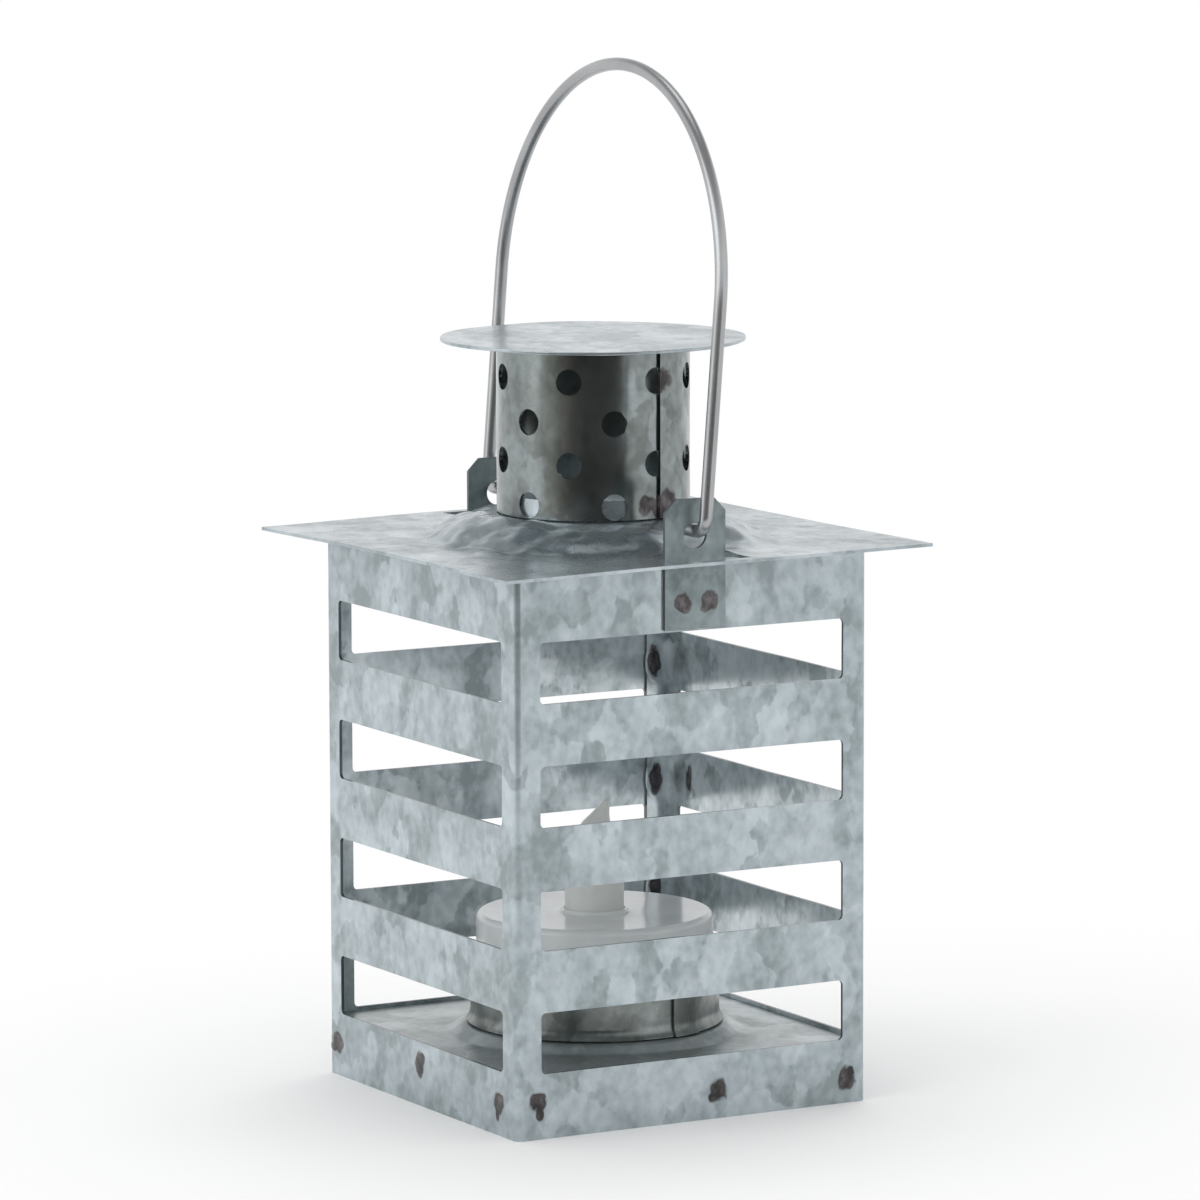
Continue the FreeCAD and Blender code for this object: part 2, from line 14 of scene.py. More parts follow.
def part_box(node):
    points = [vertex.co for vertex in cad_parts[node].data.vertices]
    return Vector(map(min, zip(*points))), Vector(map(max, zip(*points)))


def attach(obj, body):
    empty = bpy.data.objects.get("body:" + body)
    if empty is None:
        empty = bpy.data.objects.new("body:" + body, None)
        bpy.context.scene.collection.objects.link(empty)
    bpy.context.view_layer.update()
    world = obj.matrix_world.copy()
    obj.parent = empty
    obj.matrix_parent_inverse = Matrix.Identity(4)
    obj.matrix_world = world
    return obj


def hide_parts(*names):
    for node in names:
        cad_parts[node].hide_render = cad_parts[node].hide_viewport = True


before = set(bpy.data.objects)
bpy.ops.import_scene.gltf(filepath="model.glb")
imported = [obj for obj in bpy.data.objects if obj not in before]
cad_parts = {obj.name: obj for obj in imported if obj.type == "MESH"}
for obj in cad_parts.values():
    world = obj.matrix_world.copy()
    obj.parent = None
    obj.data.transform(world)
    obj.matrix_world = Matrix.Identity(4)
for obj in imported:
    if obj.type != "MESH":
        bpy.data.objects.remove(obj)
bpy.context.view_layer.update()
MM = 0.001
SHEET = 0.5 * MM

# %% [markdown]
# ## The camera
# The photograph was taken from a little above the roof, with a long lens. The camera is written as an aim
# point, two angles, a distance and a small roll, the numbers that a photographer would read off a tripod.
# One matrix puts them together and keeps the roll about the camera's own axis.

# %% The camera
CAMERA_AIM = Vector((0.00044, 0.0009, 0.07716))
CAMERA_AZIMUTH = radians(60.62)
CAMERA_ELEVATION = radians(7.84)
CAMERA_ROLL = radians(-0.157)
CAMERA_DISTANCE = 1.115


def aimed(azimuth, elevation):
    """The turn of a camera or lamp that looks back from a direction."""
    return Matrix.Rotation(azimuth, 4, "Z") @ Matrix.Rotation(pi / 2 - elevation, 4, "X")


camera = bpy.data.objects.new("camera", bpy.data.cameras.new("camera"))
bpy.context.scene.collection.objects.link(camera)
camera.data.sensor_width = 36.0
camera.data.lens = 214.47
camera.data.clip_start = 0.01
turned = aimed(CAMERA_AZIMUTH, CAMERA_ELEVATION) @ Matrix.Rotation(CAMERA_ROLL, 4, "Z")
camera.matrix_world = Matrix.Translation(CAMERA_AIM) @ turned @ Matrix.Translation((0, 0, CAMERA_DISTANCE))
bpy.context.scene.camera = camera
print("camera stands at", [round(value, 3) for value in camera.matrix_world.translation])

# %% [markdown]
# ## Node helpers
# A material is a small graph of nodes. Wiring each one by hand takes many lines, so one helper adds a node,
# sets its options and fills or links its inputs. Colours are written as hex codes, as a paint program shows
# them, and turned into the linear values that shaders work with.

# %% Node helpers
def colour(code):
    """Turns a hex colour such as 9AA5A8 into linear red, green, blue and alpha."""
    parts = [int(code[start:start + 2], 16) / 255 for start in (0, 2, 4)]
    linear = [part / 12.92 if part < 0.0405 else ((part + 0.055) / 1.055) ** 2.4 for part in parts]
    return (*linear, 1.0)


def put(tree, kind, inputs=None, **options):
    """Adds a node, sets its options, and sets or links each input that is named."""
    node = tree.nodes.new(kind)
    for option, value in options.items():
        setattr(node, option, value)
    for socket, value in (inputs or {}).items():
        if isinstance(value, bpy.types.NodeSocket):
            tree.links.new(value, node.inputs[socket])
        else:
            node.inputs[socket].default_value = value
    return node


def new_finish(name):
    """Starts a material and returns it with its node tree and its shader."""
    material = bpy.data.materials.new(name)
    material.use_nodes = True
    tree = material.node_tree
    return material, tree, tree.nodes["Principled BSDF"]


def sums(tree, operation, first, second):
    return put(tree, "ShaderNodeMath", {0: first, 1: second}, operation=operation).outputs[0]


def between(tree, value, start, end, low=0.0, high=1.0, curve="SMOOTHSTEP"):
    """Carries a value from one range to another."""
    ranges = {"Value": value, "From Min": start, "From Max": end, "To Min": low, "To Max": high}
    return put(tree, "ShaderNodeMapRange", ranges, interpolation_type=curve).outputs["Result"]


def ramp(tree, factor, stops):
    """A colour ramp from a list of places and hex colours."""
    node = put(tree, "ShaderNodeValToRGB", {"Fac": factor})
    elements = node.color_ramp.elements
    while len(elements) < len(stops):
        elements.new(0.5)
    for element, (place, code) in zip(elements, stops):
        element.position = place
        element.color = colour(code)
    return node.outputs["Color"]


def where(tree):
    """The place on the piece, in metres."""
    return put(tree, "ShaderNodeTexCoord").outputs["Object"]


def noise(tree, place, scale, detail):
    """A cloudy pattern with the given number of clouds per metre."""
    return put(tree, "ShaderNodeTexNoise", {"Vector": place, "Scale": scale, "Detail": detail})


def matt(shader):
    shader.inputs["Roughness"].default_value = 1.0
    shader.inputs["Specular IOR Level"].default_value = 0.0


print("node helpers ready")

# %% [markdown]
# ## The studio floor and the world
# The photograph stands on plain white. A studio would use white paper and soft lamps, and so does this one.
# The floor catches the shadow near the lantern and turns into the background's white further out. The world
# is white for the camera and for reflections, and dimmer as fill light. Its ceiling darkens in reflections,
# because bright metal in an all-white room shows no shape.

# %% The studio floor and the world
SHADOW_INNER = 0.05
SHADOW_OUTER = 0.22
FILL_LEVEL = 0.86
CEILING_LEVEL = 0.42
CEILING_STARTS = 0.3
CEILING_ENDS = 0.8
WHITE = (1, 1, 1, 1)
PAPER_WHITE = (0.95, 0.95, 0.95, 1)


def background_rays(tree):
    """One for rays from the camera, a reflection or glass, and nought for fill light."""
    rays = put(tree, "ShaderNodeLightPath")
    seen = sums(tree, "MAXIMUM", rays.outputs["Is Camera Ray"], rays.outputs["Is Glossy Ray"])
    return sums(tree, "MAXIMUM", seen, rays.outputs["Is Transmission Ray"])


world = bpy.data.worlds.new("studio")
bpy.context.scene.world = world
world.use_nodes = True
sky = world.node_tree
background = sky.nodes["Background"]
background.inputs["Color"].default_value = WHITE
looking = put(sky, "ShaderNodeTexCoord").outputs["Generated"]
upward = put(sky, "ShaderNodeSeparateXYZ", {"Vector": looking}).outputs["Z"]
seen_level = between(sky, upward, CEILING_STARTS, CEILING_ENDS, 1.0, CEILING_LEVEL)
lift = sums(sky, "MULTIPLY", background_rays(sky), sums(sky, "SUBTRACT", seen_level, FILL_LEVEL))
sky.links.new(sums(sky, "ADD", lift, FILL_LEVEL), background.inputs["Strength"])

bpy.ops.mesh.primitive_plane_add(size=30)
floor = bpy.context.object
floor.name = "floor"
paper, tree, shader = new_finish("white_paper")
shader.inputs["Base Color"].default_value = PAPER_WHITE
matt(shader)
reach = put(tree, "ShaderNodeVectorMath", {0: where(tree)}, operation="LENGTH").outputs["Value"]
fade = between(tree, reach, SHADOW_INNER, SHADOW_OUTER)
plain = put(tree, "ShaderNodeEmission", {"Color": WHITE, "Strength": 1.0}).outputs[0]
share = sums(tree, "MULTIPLY", fade, background_rays(tree))
mixed = put(tree, "ShaderNodeMixShader", {0: share, 1: shader.outputs[0], 2: plain}).outputs[0]
tree.links.new(mixed, tree.nodes["Material Output"].inputs["Surface"])
floor.data.materials.append(paper)
bpy.context.scene.view_settings.view_transform = "Standard"
print("floor fades to white from", SHADOW_INNER, "to", SHADOW_OUTER, "m")

# %% [markdown]
# ## The lamps and the dark card
# Four large soft lamps stand round the lantern, the strongest on the left. The one behind is hidden from
# reflections, because the flat roof would mirror it as a white patch. A tube seen from above mirrors what
# lies low in front of it, so a low dark card, unseen by the camera, gives the chimney the dark band of the
# photograph.

# %% The lamps and the dark card
LAMP_AIM = 0.07
# azimuth and elevation in degrees, distance and size in metres, and watts
LAMPS = {
    "lamp_left": (4, 14, 1.2, 1.2, 4.6),
    "lamp_right": (112, 12, 1.3, 1.0, 0.25),
    "lamp_back": (225, 24, 1.3, 1.0, 2.0),
    "lamp_top": (240, 75, 1.1, 0.6, 1.4),
}
CARD_AZIMUTH = 46
CARD_DISTANCE = 0.35
CARD_WIDTH = 0.86
CARD_HEIGHT = 0.15
CARD_TONES = [(0.0, "DCDAD6"), (0.2, "C4C0BA"), (0.31, "8A8278"), (0.42, "463F38"), (0.55, "2C2926")]


def studio_spot(azimuth, elevation, distance):
    """A place round the lantern for a lamp or a card that faces it."""
    turn = aimed(radians(azimuth), radians(elevation))
    return Matrix.Translation((0, 0, LAMP_AIM)) @ turn @ Matrix.Translation((0, 0, distance))


for name, (azimuth, elevation, distance, size, watts) in LAMPS.items():
    lamp = bpy.data.objects.new(name, bpy.data.lights.new(name, "AREA"))
    lamp.data.energy = watts
    lamp.data.size = size
    lamp.matrix_world = studio_spot(azimuth, elevation, distance)
    bpy.context.scene.collection.objects.link(lamp)
bpy.data.objects["lamp_back"].visible_glossy = False

bpy.ops.mesh.primitive_plane_add(size=1)
card = bpy.context.object
card.name = "dark_card"
card_lift = Matrix.Translation((0, CARD_HEIGHT / 2 - LAMP_AIM, 0))
card_size = Matrix.Diagonal((CARD_WIDTH, CARD_HEIGHT, 1, 1))
card.matrix_world = studio_spot(CARD_AZIMUTH, 0, CARD_DISTANCE) @ card_lift @ card_size
black, tree, shader = new_finish("dark_card")
along = put(tree, "ShaderNodeSeparateXYZ", {"Vector": where(tree)}).outputs["X"]
tree.links.new(ramp(tree, sums(tree, "ADD", along, 0.5), CARD_TONES), shader.inputs["Base Color"])
matt(shader)
card.data.materials.append(black)
card.visible_camera = False
card.visible_shadow = False
card.visible_diffuse = False
print("lamps:", sorted(LAMPS))

# %% [markdown]
# ## The zinc pattern
# Hot-dipped sheet is covered in zinc crystals. On old dull zinc they are soft grey patches a few millimetres
# wide, with feathery edges and fine specks. A painted picture could show them, but three patterns added up
# need no unwrapping: cells for the crystals, bent by clouds, broad clouds for dull areas and fine ones for
# specks.

# %% The zinc pattern
PATTERN_STRETCH = (1, 1, 0.8)
DRIFT = (0.004, 0.004, 0.004)
DRIFT_SCALE = 420
CRYSTAL_SCALE = 230.0
CRYSTAL_SOFTNESS = 0.2
CLOUD_SCALE = 105
SPECK_SCALE = 620
CRYSTAL_SHARE = 0.175
CLOUD_SHARE = 0.48
SPECK_SHARE = 0.35


def zinc_pattern(tree, offset):
    """The sum of crystals, broad clouds and fine specks, and the specks alone."""
    moved = {"Vector": where(tree), "Location": offset, "Scale": PATTERN_STRETCH}
    place = put(tree, "ShaderNodeMapping", moved).outputs["Vector"]
    drift = noise(tree, place, DRIFT_SCALE, detail=3.0).outputs["Color"]
    bending = {0: drift, 1: DRIFT, 2: place}
    bent = put(tree, "ShaderNodeVectorMath", bending, operation="MULTIPLY_ADD").outputs["Vector"]
    grain = {"Vector": bent, "Scale": CRYSTAL_SCALE, "Smoothness": CRYSTAL_SOFTNESS}
    cells = put(tree, "ShaderNodeTexVoronoi", grain, feature="SMOOTH_F1").outputs["Color"]
    crystals = put(tree, "ShaderNodeSeparateColor", {"Color": cells}).outputs["Red"]
    clouds = noise(tree, place, CLOUD_SCALE, detail=3.0).outputs["Fac"]
    specks = noise(tree, place, SPECK_SCALE, detail=5.0).outputs["Fac"]
    crystals = sums(tree, "MULTIPLY", crystals, CRYSTAL_SHARE)
    total = sums(tree, "ADD", crystals, sums(tree, "MULTIPLY", clouds, CLOUD_SHARE))
    return sums(tree, "ADD", total, sums(tree, "MULTIPLY", specks, SPECK_SHARE)), specks


print("zinc crystals are about", round(1 / CRYSTAL_SCALE / MM, 1), "mm wide")

# %% [markdown]
# ## The zinc coats
# The pattern drives the colour, the gloss and a very small relief of each coat. Three values kept in the
# meshes change it further: inside, on the walls' inner faces, which get lighter tones as painted light that
# brightens the lantern's inside, sheared, on cut edges, where the steel is bare, and burn, which rises to
# one in the middle of a spot weld. Separate materials could do it too, but stored values leave no hard
# outline.

# %% The zinc coats
DULL_RANGE = (0.3, 0.75)
RELIEF = 0.35
BURN_RAGGEDNESS = 1.1
BURN_EDGE = (0.2, 0.42)
BURN_METAL = 0.3
BURN_TONES = [(0.38, "2F2C2D"), (0.52, "474344"), (0.68, "6A6668")]
SHEARED_TONE = "5C6266"
# lighter tones for the faces that look into the lantern: painted light, the same zinc as outside
INSIDE_PAINTED_LIGHT_TONES = [(0.38, "99A4A7"), (0.48, "BAC4C8"), (0.58, "D0D9DD"), (0.70, "E2E9EC")]


def stored(tree, name):
    """A value that a piece keeps in its mesh, or nought where it has none."""
    return put(tree, "ShaderNodeAttribute", attribute_name=name).outputs["Fac"]


def over(tree, share, under, top):
    """Lays one colour over another by a share."""
    return put(tree, "ShaderNodeMixRGB", {"Fac": share, "Color1": under, "Color2": top}).outputs["Color"]


def zinc(name, stops, gloss, offset=(0, 0, 0), metal=0.6, grain=0.03, burnt=False):
    """A zinc coat: tones along the pattern, roughness from dull to bright, and grain in mm."""
    material, tree, shader = new_finish(name)
    pattern, specks = zinc_pattern(tree, offset)
    # the inner faces take the lighter tones of painted light
    coat = over(tree, stored(tree, "inside"), ramp(tree, pattern, stops), ramp(tree, pattern, INSIDE_PAINTED_LIGHT_TONES))
    coat = over(tree, stored(tree, "sheared"), coat, colour(SHEARED_TONE))
    shader.inputs["Metallic"].default_value = metal
    if burnt:
        uneven = sums(tree, "MULTIPLY", sums(tree, "SUBTRACT", specks, 0.5), BURN_RAGGEDNESS)
        ragged = sums(tree, "ADD", stored(tree, "burn"), uneven)
        crust = between(tree, ragged, *BURN_EDGE)
        coat = over(tree, crust, coat, ramp(tree, specks, BURN_TONES))
        burnt_metal = between(tree, crust, 0.0, 1.0, metal, BURN_METAL, "LINEAR")
        tree.links.new(burnt_metal, shader.inputs["Metallic"])
    dull = between(tree, pattern, *DULL_RANGE, *gloss, "LINEAR")
    tree.links.new(coat, shader.inputs["Base Color"])
    tree.links.new(dull, shader.inputs["Roughness"])
    relief = {"Height": specks, "Strength": RELIEF, "Distance": grain * MM}
    tree.links.new(put(tree, "ShaderNodeBump", relief).outputs["Normal"], shader.inputs["Normal"])
    return material


WALL_TONES = [(0.38, "8C979A"), (0.48, "A2ADB1"), (0.58, "B3BEC3"), (0.70, "C3CED3")]
EAR_TONES = [(0.38, "687375"), (0.50, "808B8D"), (0.62, "8D999B"), (0.72, "9BA6A8")]
ROOF_TONES = [(0.38, "98A2A6"), (0.50, "ABB5BA"), (0.60, "B7C0C5"), (0.72, "C1C9CE")]
CHIMNEY_TONES = [(0.38, "6F7573"), (0.50, "848B8A"), (0.60, "939B9C"), (0.72, "A3ACAE")]
CUP_TONES = [(0.38, "676C6A"), (0.50, "7C8280"), (0.62, "8D9392"), (0.72, "9CA3A2")]
TRAY_TONES = [(0.38, "A3AAAA"), (0.50, "B3BBBC"), (0.62, "BEC6C8"), (0.72, "C6CED1")]
WALL_COAT = {"stops": WALL_TONES, "gloss": (0.25, 0.14)}
EAR_COAT = {"stops": EAR_TONES, "gloss": (0.40, 0.30), "offset": (0.7, 0.3, 0)}
wall_zinc = zinc("wall_zinc", **WALL_COAT)
wall_burn = zinc("wall_burn", burnt=True, **WALL_COAT)
ear_zinc = zinc("ear_zinc", **EAR_COAT)
ear_burn = zinc("ear_burn", burnt=True, **EAR_COAT)
chimney_zinc = zinc("chimney_zinc", CHIMNEY_TONES, gloss=(0.24, 0.17), offset=(0.1, 0.4, 0), metal=0.97,
                    grain=0.01, burnt=True)
roof_zinc = zinc("roof_zinc", ROOF_TONES, gloss=(0.32, 0.2), offset=(0.3, 0.1, 0), metal=0.85, grain=0.02)
cup_zinc = zinc("cup_zinc", CUP_TONES, gloss=(0.36, 0.24), offset=(0.2, 0.5, 0), metal=0.92, grain=0.01)
tray_zinc = zinc("tray_zinc", TRAY_TONES, gloss=(0.4, 0.28), offset=(0.2, 0.2, 0), metal=0.75, grain=0.008)
print("zinc coats ready")

# %% [markdown]
# ## Plain finishes
# The other finishes are simpler: drawn steel wire, white moulded plastic, the frosted flame, and the small
# parts inside the tea light. A flat colour would almost do, but each gets faint clouds, because no real
# surface is perfectly even. The flame lets a little light in under its skin, as frosted plastic does.

# %% Plain finishes
CLOUD_ENDS = (0.35, 0.65)
SKIN_RELIEF = 0.2
SKIN_DEPTH = 0.02 * MM
FROST_SHARE = 0.4
FROST_DEPTH = 2 * MM


def cloudy(name, dark, light, scale, rough, metal=0.0):
    """A finish of one colour with faint clouds in it."""
    material, tree, shader = new_finish(name)
    cloud = noise(tree, where(tree), scale, detail=4.0).outputs["Fac"]
    tones = ramp(tree, cloud, [(CLOUD_ENDS[0], dark), (CLOUD_ENDS[1], light)])
    tree.links.new(tones, shader.inputs["Base Color"])
    relief = {"Height": cloud, "Strength": SKIN_RELIEF, "Distance": SKIN_DEPTH}
    tree.links.new(put(tree, "ShaderNodeBump", relief).outputs["Normal"], shader.inputs["Normal"])
    shader.inputs["Roughness"].default_value = rough
    shader.inputs["Metallic"].default_value = metal
    return material


wire_steel = cloudy("wire_steel", "A2A4A6", "B0B2B4", scale=90, rough=0.28, metal=0.95)
candle_white = cloudy("candle_white", "DADEDF", "E4E7E7", scale=160, rough=0.14)
flame_frost = cloudy("flame_frost", "D9DBD8", "E4E6E3", scale=160, rough=0.38)
frost = flame_frost.node_tree.nodes["Principled BSDF"]
frost.inputs["Subsurface Weight"].default_value = FROST_SHARE
frost.inputs["Subsurface Radius"].default_value = (FROST_DEPTH, FROST_DEPTH, FROST_DEPTH)
lamp_epoxy = cloudy("lamp_epoxy", "C98A2B", "D89A38", scale=300, rough=0.15)
contact_metal = cloudy("contact_metal", "A9A69C", "C2BFB4", scale=500, rough=0.3, metal=1.0)
cell_steel = cloudy("cell_steel", "B9BCBE", "CACDCE", scale=300, rough=0.24, metal=1.0)
switch_black = cloudy("switch_black", "1B1C1D", "242526", scale=400, rough=0.45)
print("plain finishes ready")

# %% [markdown]
# ## Editing helpers
# Every piece below is modelled as by hand: select, enter edit mode, run an operator, leave edit mode. An
# operator works on all that is selected, so the selection is cleared first. These helpers hold the steps
# that all pieces share.

# %% Editing helpers
MERGE = 0.001 * MM


def only(piece):
    """Makes one object the only selected one, and the active one."""
    bpy.ops.object.select_all(action="DESELECT")
    piece.select_set(True)
    bpy.context.view_layer.objects.active = piece


def edit(piece):
    """Opens one object in edit mode with all of it selected."""
    only(piece)
    bpy.ops.object.mode_set(mode="EDIT")
    bpy.ops.mesh.select_all(action="SELECT")


def close_edit():
    bpy.ops.object.mode_set(mode="OBJECT")


def modify(piece, kind, **settings):
    """Adds a modifier, sets it and applies it."""
    only(piece)
    modifier = piece.modifiers.new(kind.lower(), kind)
    for setting, value in settings.items():
        setattr(modifier, setting, value)
    bpy.ops.object.modifier_apply(modifier=modifier.name)


def settle(piece):
    """Puts an object's place, turn and scale into its mesh."""
    only(piece)
    bpy.ops.object.transform_apply(location=True, rotation=True, scale=True)


def clamp(share, least=0.0):
    return min(1.0, max(least, share))


def away(place):
    """The level direction from the lantern's middle to a place."""
    return Vector((place.x, place.y, 0)).normalized()


print("editing helpers ready")

# %% [markdown]
# ## The lathe
# Half of the pieces are round. They could be built from cylinders and cones, but one outline spun round the
# lantern's middle gives the whole shape at once, with clean rings. The helper merges a small plane to a
# point, extrudes the outline from it and spins it. An open outline with Solidify makes a strip of rolled
# sheet.

# %% The lathe
def spun(name, outline, start, sweep, steps):
    """Draws an outline of radii and heights and spins it round the Z axis."""
    bpy.ops.mesh.primitive_plane_add(size=MM)
    piece = bpy.context.object
    piece.name = name
    bpy.ops.object.mode_set(mode="EDIT")
    bpy.ops.mesh.select_mode(type="VERT")
    bpy.ops.mesh.select_all(action="SELECT")
    bpy.ops.mesh.merge(type="CENTER")
    points = [Vector((radius * cos(start), radius * sin(start), height)) for radius, height in outline]
    bpy.ops.transform.translate(value=points[0])
    for before, after in zip(points, points[1:]):
        bpy.ops.mesh.extrude_vertices_move(TRANSFORM_OT_translate={"value": after - before})
    bpy.ops.mesh.select_all(action="SELECT")
    bpy.ops.mesh.spin(steps=steps, angle=sweep, center=(0, 0, 0), axis=(0, 0, 1))
    bpy.ops.mesh.select_all(action="SELECT")
    bpy.ops.mesh.remove_doubles(threshold=MERGE)
    bpy.ops.mesh.normals_make_consistent(inside=False)
    close_edit()
    return piece


def lathe(name, outline, steps):
    return spun(name, outline, 0, 2 * pi, steps)


def face_outward(piece, sign):
    """Turns an open sheet's faces up where the sign is 1, or away from the middle where it is 0."""
    total = 0.0
    for face in piece.data.polygons:
        total += face.area * (face.normal.z * sign if sign else face.normal.dot(away(face.center)))
    if total < 0:
        edit(piece)
        bpy.ops.mesh.flip_normals()
        close_edit()


def rolled(name, outline, start, sweep, steps):
    """A strip of sheet rolled up from a start angle, outside its outline."""
    piece = spun(name, outline, start, -sweep, steps)
    face_outward(piece, 0)
    modify(piece, "SOLIDIFY", thickness=SHEET, offset=1)
    return piece


print("lathe ready")

# %% [markdown]
# ## Sheet helpers
# Thin sheet is never dead flat, its cut edges are a little rounded and its cut faces are bare. A Displace
# modifier with a cloud texture makes the lumps, held back by a vertex group where the sheet is stiff. A
# bevel rounds the edges and keeps the shading of the large faces. A value on each face tells the finish
# which faces are cut.

# %% Sheet helpers
# a face with less than this share of a direction looks sideways to it
SIDEWAYS = 0.5


def weigh(piece, group, share):
    """Fills a vertex group by a rule that gives each point its share."""
    made = piece.vertex_groups.new(name=group)
    for vertex in piece.data.vertices:
        made.add([vertex.index], clamp(share(vertex.co)), "REPLACE")


def lumps(piece, height, size, group, direction="NORMAL"):
    """Presses lumps of one size into a mesh by a vertex group."""
    cloud = bpy.data.textures.new(piece.name + "_lumps", "CLOUDS")
    cloud.noise_scale = size
    cloud.noise_depth = 1
    modify(piece, "DISPLACE", texture=cloud, strength=height, mid_level=0.5, texture_coords="LOCAL",
           vertex_group=group, direction=direction)


def ease_edges(piece, width, angle):
    """Rounds each edge that is sharper than an angle in degrees."""
    modify(piece, "BEVEL", width=width, segments=2, limit_method="ANGLE", angle_limit=radians(angle),
           face_strength_mode="FSTR_ALL")


def mark_faces(piece, name, rule):
    """Stores one on each face that a rule picks out, and nought elsewhere."""
    layer = piece.data.attributes.new(name, "FLOAT", "FACE")
    for face in piece.data.polygons:
        layer.data[face.index].value = 1.0 if rule(face) else 0.0


def cut_away(piece, tool):
    """Cuts one mesh out of another and throws the tool away."""
    modify(piece, "BOOLEAN", operation="DIFFERENCE", object=tool, solver="EXACT")
    bpy.data.objects.remove(tool)


print("sheet helpers ready")

# %% [markdown]
# ## Finishing helpers
# Some pieces start as a copy of their CAD solid, whose loose triangles are merged first. Every finished
# piece is smoothed up to an angle, gets its finish, and takes its CAD solid's place on the body that it
# moves with. The angle is small for sheet, so that bevels stay crisp, and larger for pressed and moulded
# forms.

# %% Finishing helpers
SHEET_SMOOTH = 21
PRESSED_SMOOTH = 38
FLAT_ANGLE = 0.5


def copy_node(node, name):
    """A merged copy of a CAD node, with its flat faces joined."""
    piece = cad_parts[node].copy()
    piece.data = piece.data.copy()
    piece.name = name
    for key in list(piece.keys()):
        del piece[key]
    piece.parent = None
    bpy.context.scene.collection.objects.link(piece)
    edit(piece)
    bpy.ops.mesh.remove_doubles(threshold=MERGE)
    bpy.ops.mesh.dissolve_limited(angle_limit=radians(FLAT_ANGLE))
    close_edit()
    return piece


def join(pieces, name):
    only(pieces[0])
    for piece in pieces[1:]:
        piece.select_set(True)
    bpy.ops.object.join()
    pieces[0].name = name
    return pieces[0]


def dress(piece, body, slot, finish, *nodes, smooth=SHEET_SMOOTH):
    """Smooths and finishes a piece, and lets it ride on its body in place of its CAD nodes."""
    settle(piece)
    bpy.ops.object.shade_smooth_by_angle(angle=radians(smooth))
    modify(piece, "WEIGHTED_NORMAL", keep_sharp=True, use_face_influence=True)
    piece.data.materials.clear()
    piece.data.materials.append(finish)
    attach(piece, body)
    if nodes:
        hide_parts(*nodes)
    print(piece.name, "has", len(piece.data.polygons), "faces and rides on", body)


print("finishing helpers ready")

# %% [markdown]
# ## The folded walls
# The body is one strip of sheet, pierced with slots and folded round. The CAD solid has the right folds,
# slots and lap, so a merged copy is the start. Plane cuts give the flat walls points to move, and two
# displacements push them in and out by about a tenth of a millimetre. They push along X and Y only, so the
# sheet keeps its thickness.

# %% The folded walls
WALL_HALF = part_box("body_shell")[1].x
BOTTOM_BAND = 12 * MM
TOP_BAND = 75 * MM
CUT_PITCH = 5 * MM
CUTS_EACH_WAY = 5
CUT_LEVELS = [5, 14.7, 24.2, 33.6, 43.1, 52.5, 62, 71.4, 81.6]
FOLD = 2.5 * MM
WAVE_FADE = 8 * MM
# height and size
WAVE = (0.8 * MM, 24 * MM)

walls = copy_node("body_shell", "folded_walls")
edit(walls)
for axis in ((1, 0, 0), (0, 1, 0)):
    for count in range(-CUTS_EACH_WAY, CUTS_EACH_WAY):
        bpy.ops.mesh.select_all(action="SELECT")
        bpy.ops.mesh.bisect(plane_co=Vector(axis) * (count + 0.5) * CUT_PITCH, plane_no=axis)
for level in CUT_LEVELS:
    bpy.ops.mesh.select_all(action="SELECT")
    bpy.ops.mesh.bisect(plane_co=(0, 0, level * MM), plane_no=(0, 0, 1))
close_edit()


def slat_share(along, across, level):
    """One in the middle of a slat, nought at the folds and the welded bands."""
    on_wall = abs(abs(across) - WALL_HALF) < 2 * SHEET
    on_slat = BOTTOM_BAND < level < TOP_BAND
    return on_wall * on_slat * clamp((WALL_HALF - FOLD - abs(along)) / WAVE_FADE)


def wall_edge(face):
    """True for the narrow faces of the slots and rims."""
    across = face.normal.x if abs(face.center.x) > abs(face.center.y) else face.normal.y
    return abs(across) < SIDEWAYS


def wall_inside(face):
    """True for the faces that look into the lantern."""
    return face.normal.dot(away(face.center)) < -SIDEWAYS


weigh(walls, "x_walls", lambda place: slat_share(place.y, place.x, place.z))
weigh(walls, "y_walls", lambda place: slat_share(place.x, place.y, place.z))
lumps(walls, *WAVE, "x_walls", "X")
lumps(walls, *WAVE, "y_walls", "Y")
ease_edges(walls, width=0.1 * MM, angle=50)
mark_faces(walls, "sheared", wall_edge)
# the inner faces are flagged so that the finish paints light onto them
mark_faces(walls, "inside", wall_inside)
dress(walls, "root", "galvanised_sheet", wall_zinc, "body_shell")

# %% [markdown]
# ## The pressed floor
# The floor is a square plate with a round step pressed up for the tea light and its four sides turned down.
# A plane would leave odd faces round the step, so it starts on the lathe as a round plate. The outer rings
# are pulled out to the square one by one, the rim is turned down with an extrude, and Solidify makes it
# sheet.

# %% The pressed floor
tray_low, tray_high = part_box("base_tray")
STEP_FLOOR = tray_high.z
STEP_RISE = 1.4 * MM
STEP_LEDGE = 20.45 * MM
STEP_FOOT = 23.55 * MM
STEP_RINGS = 12
TRAY_HALF = tray_high.x
TRAY_TOP = STEP_FLOOR - STEP_RISE
TRAY_PULL_START = 24 * MM
TRAY_LUMP_START = 16 * MM
TRAY_LUMP_FADE = 6 * MM
TRAY_LUMP_END = 29.5 * MM


def pull_square(piece, start, half):
    """Pulls a round plate's rings outside a start radius out to a square of a half width."""
    for vertex in piece.data.vertices:
        flat = Vector((vertex.co.x, vertex.co.y, 0))
        radius = flat.length
        if radius > start:
            square = half / max(abs(flat.x), abs(flat.y)) * radius
            share = (radius - start) / (half - start)
            vertex.co += flat / radius * (share * (square - half))


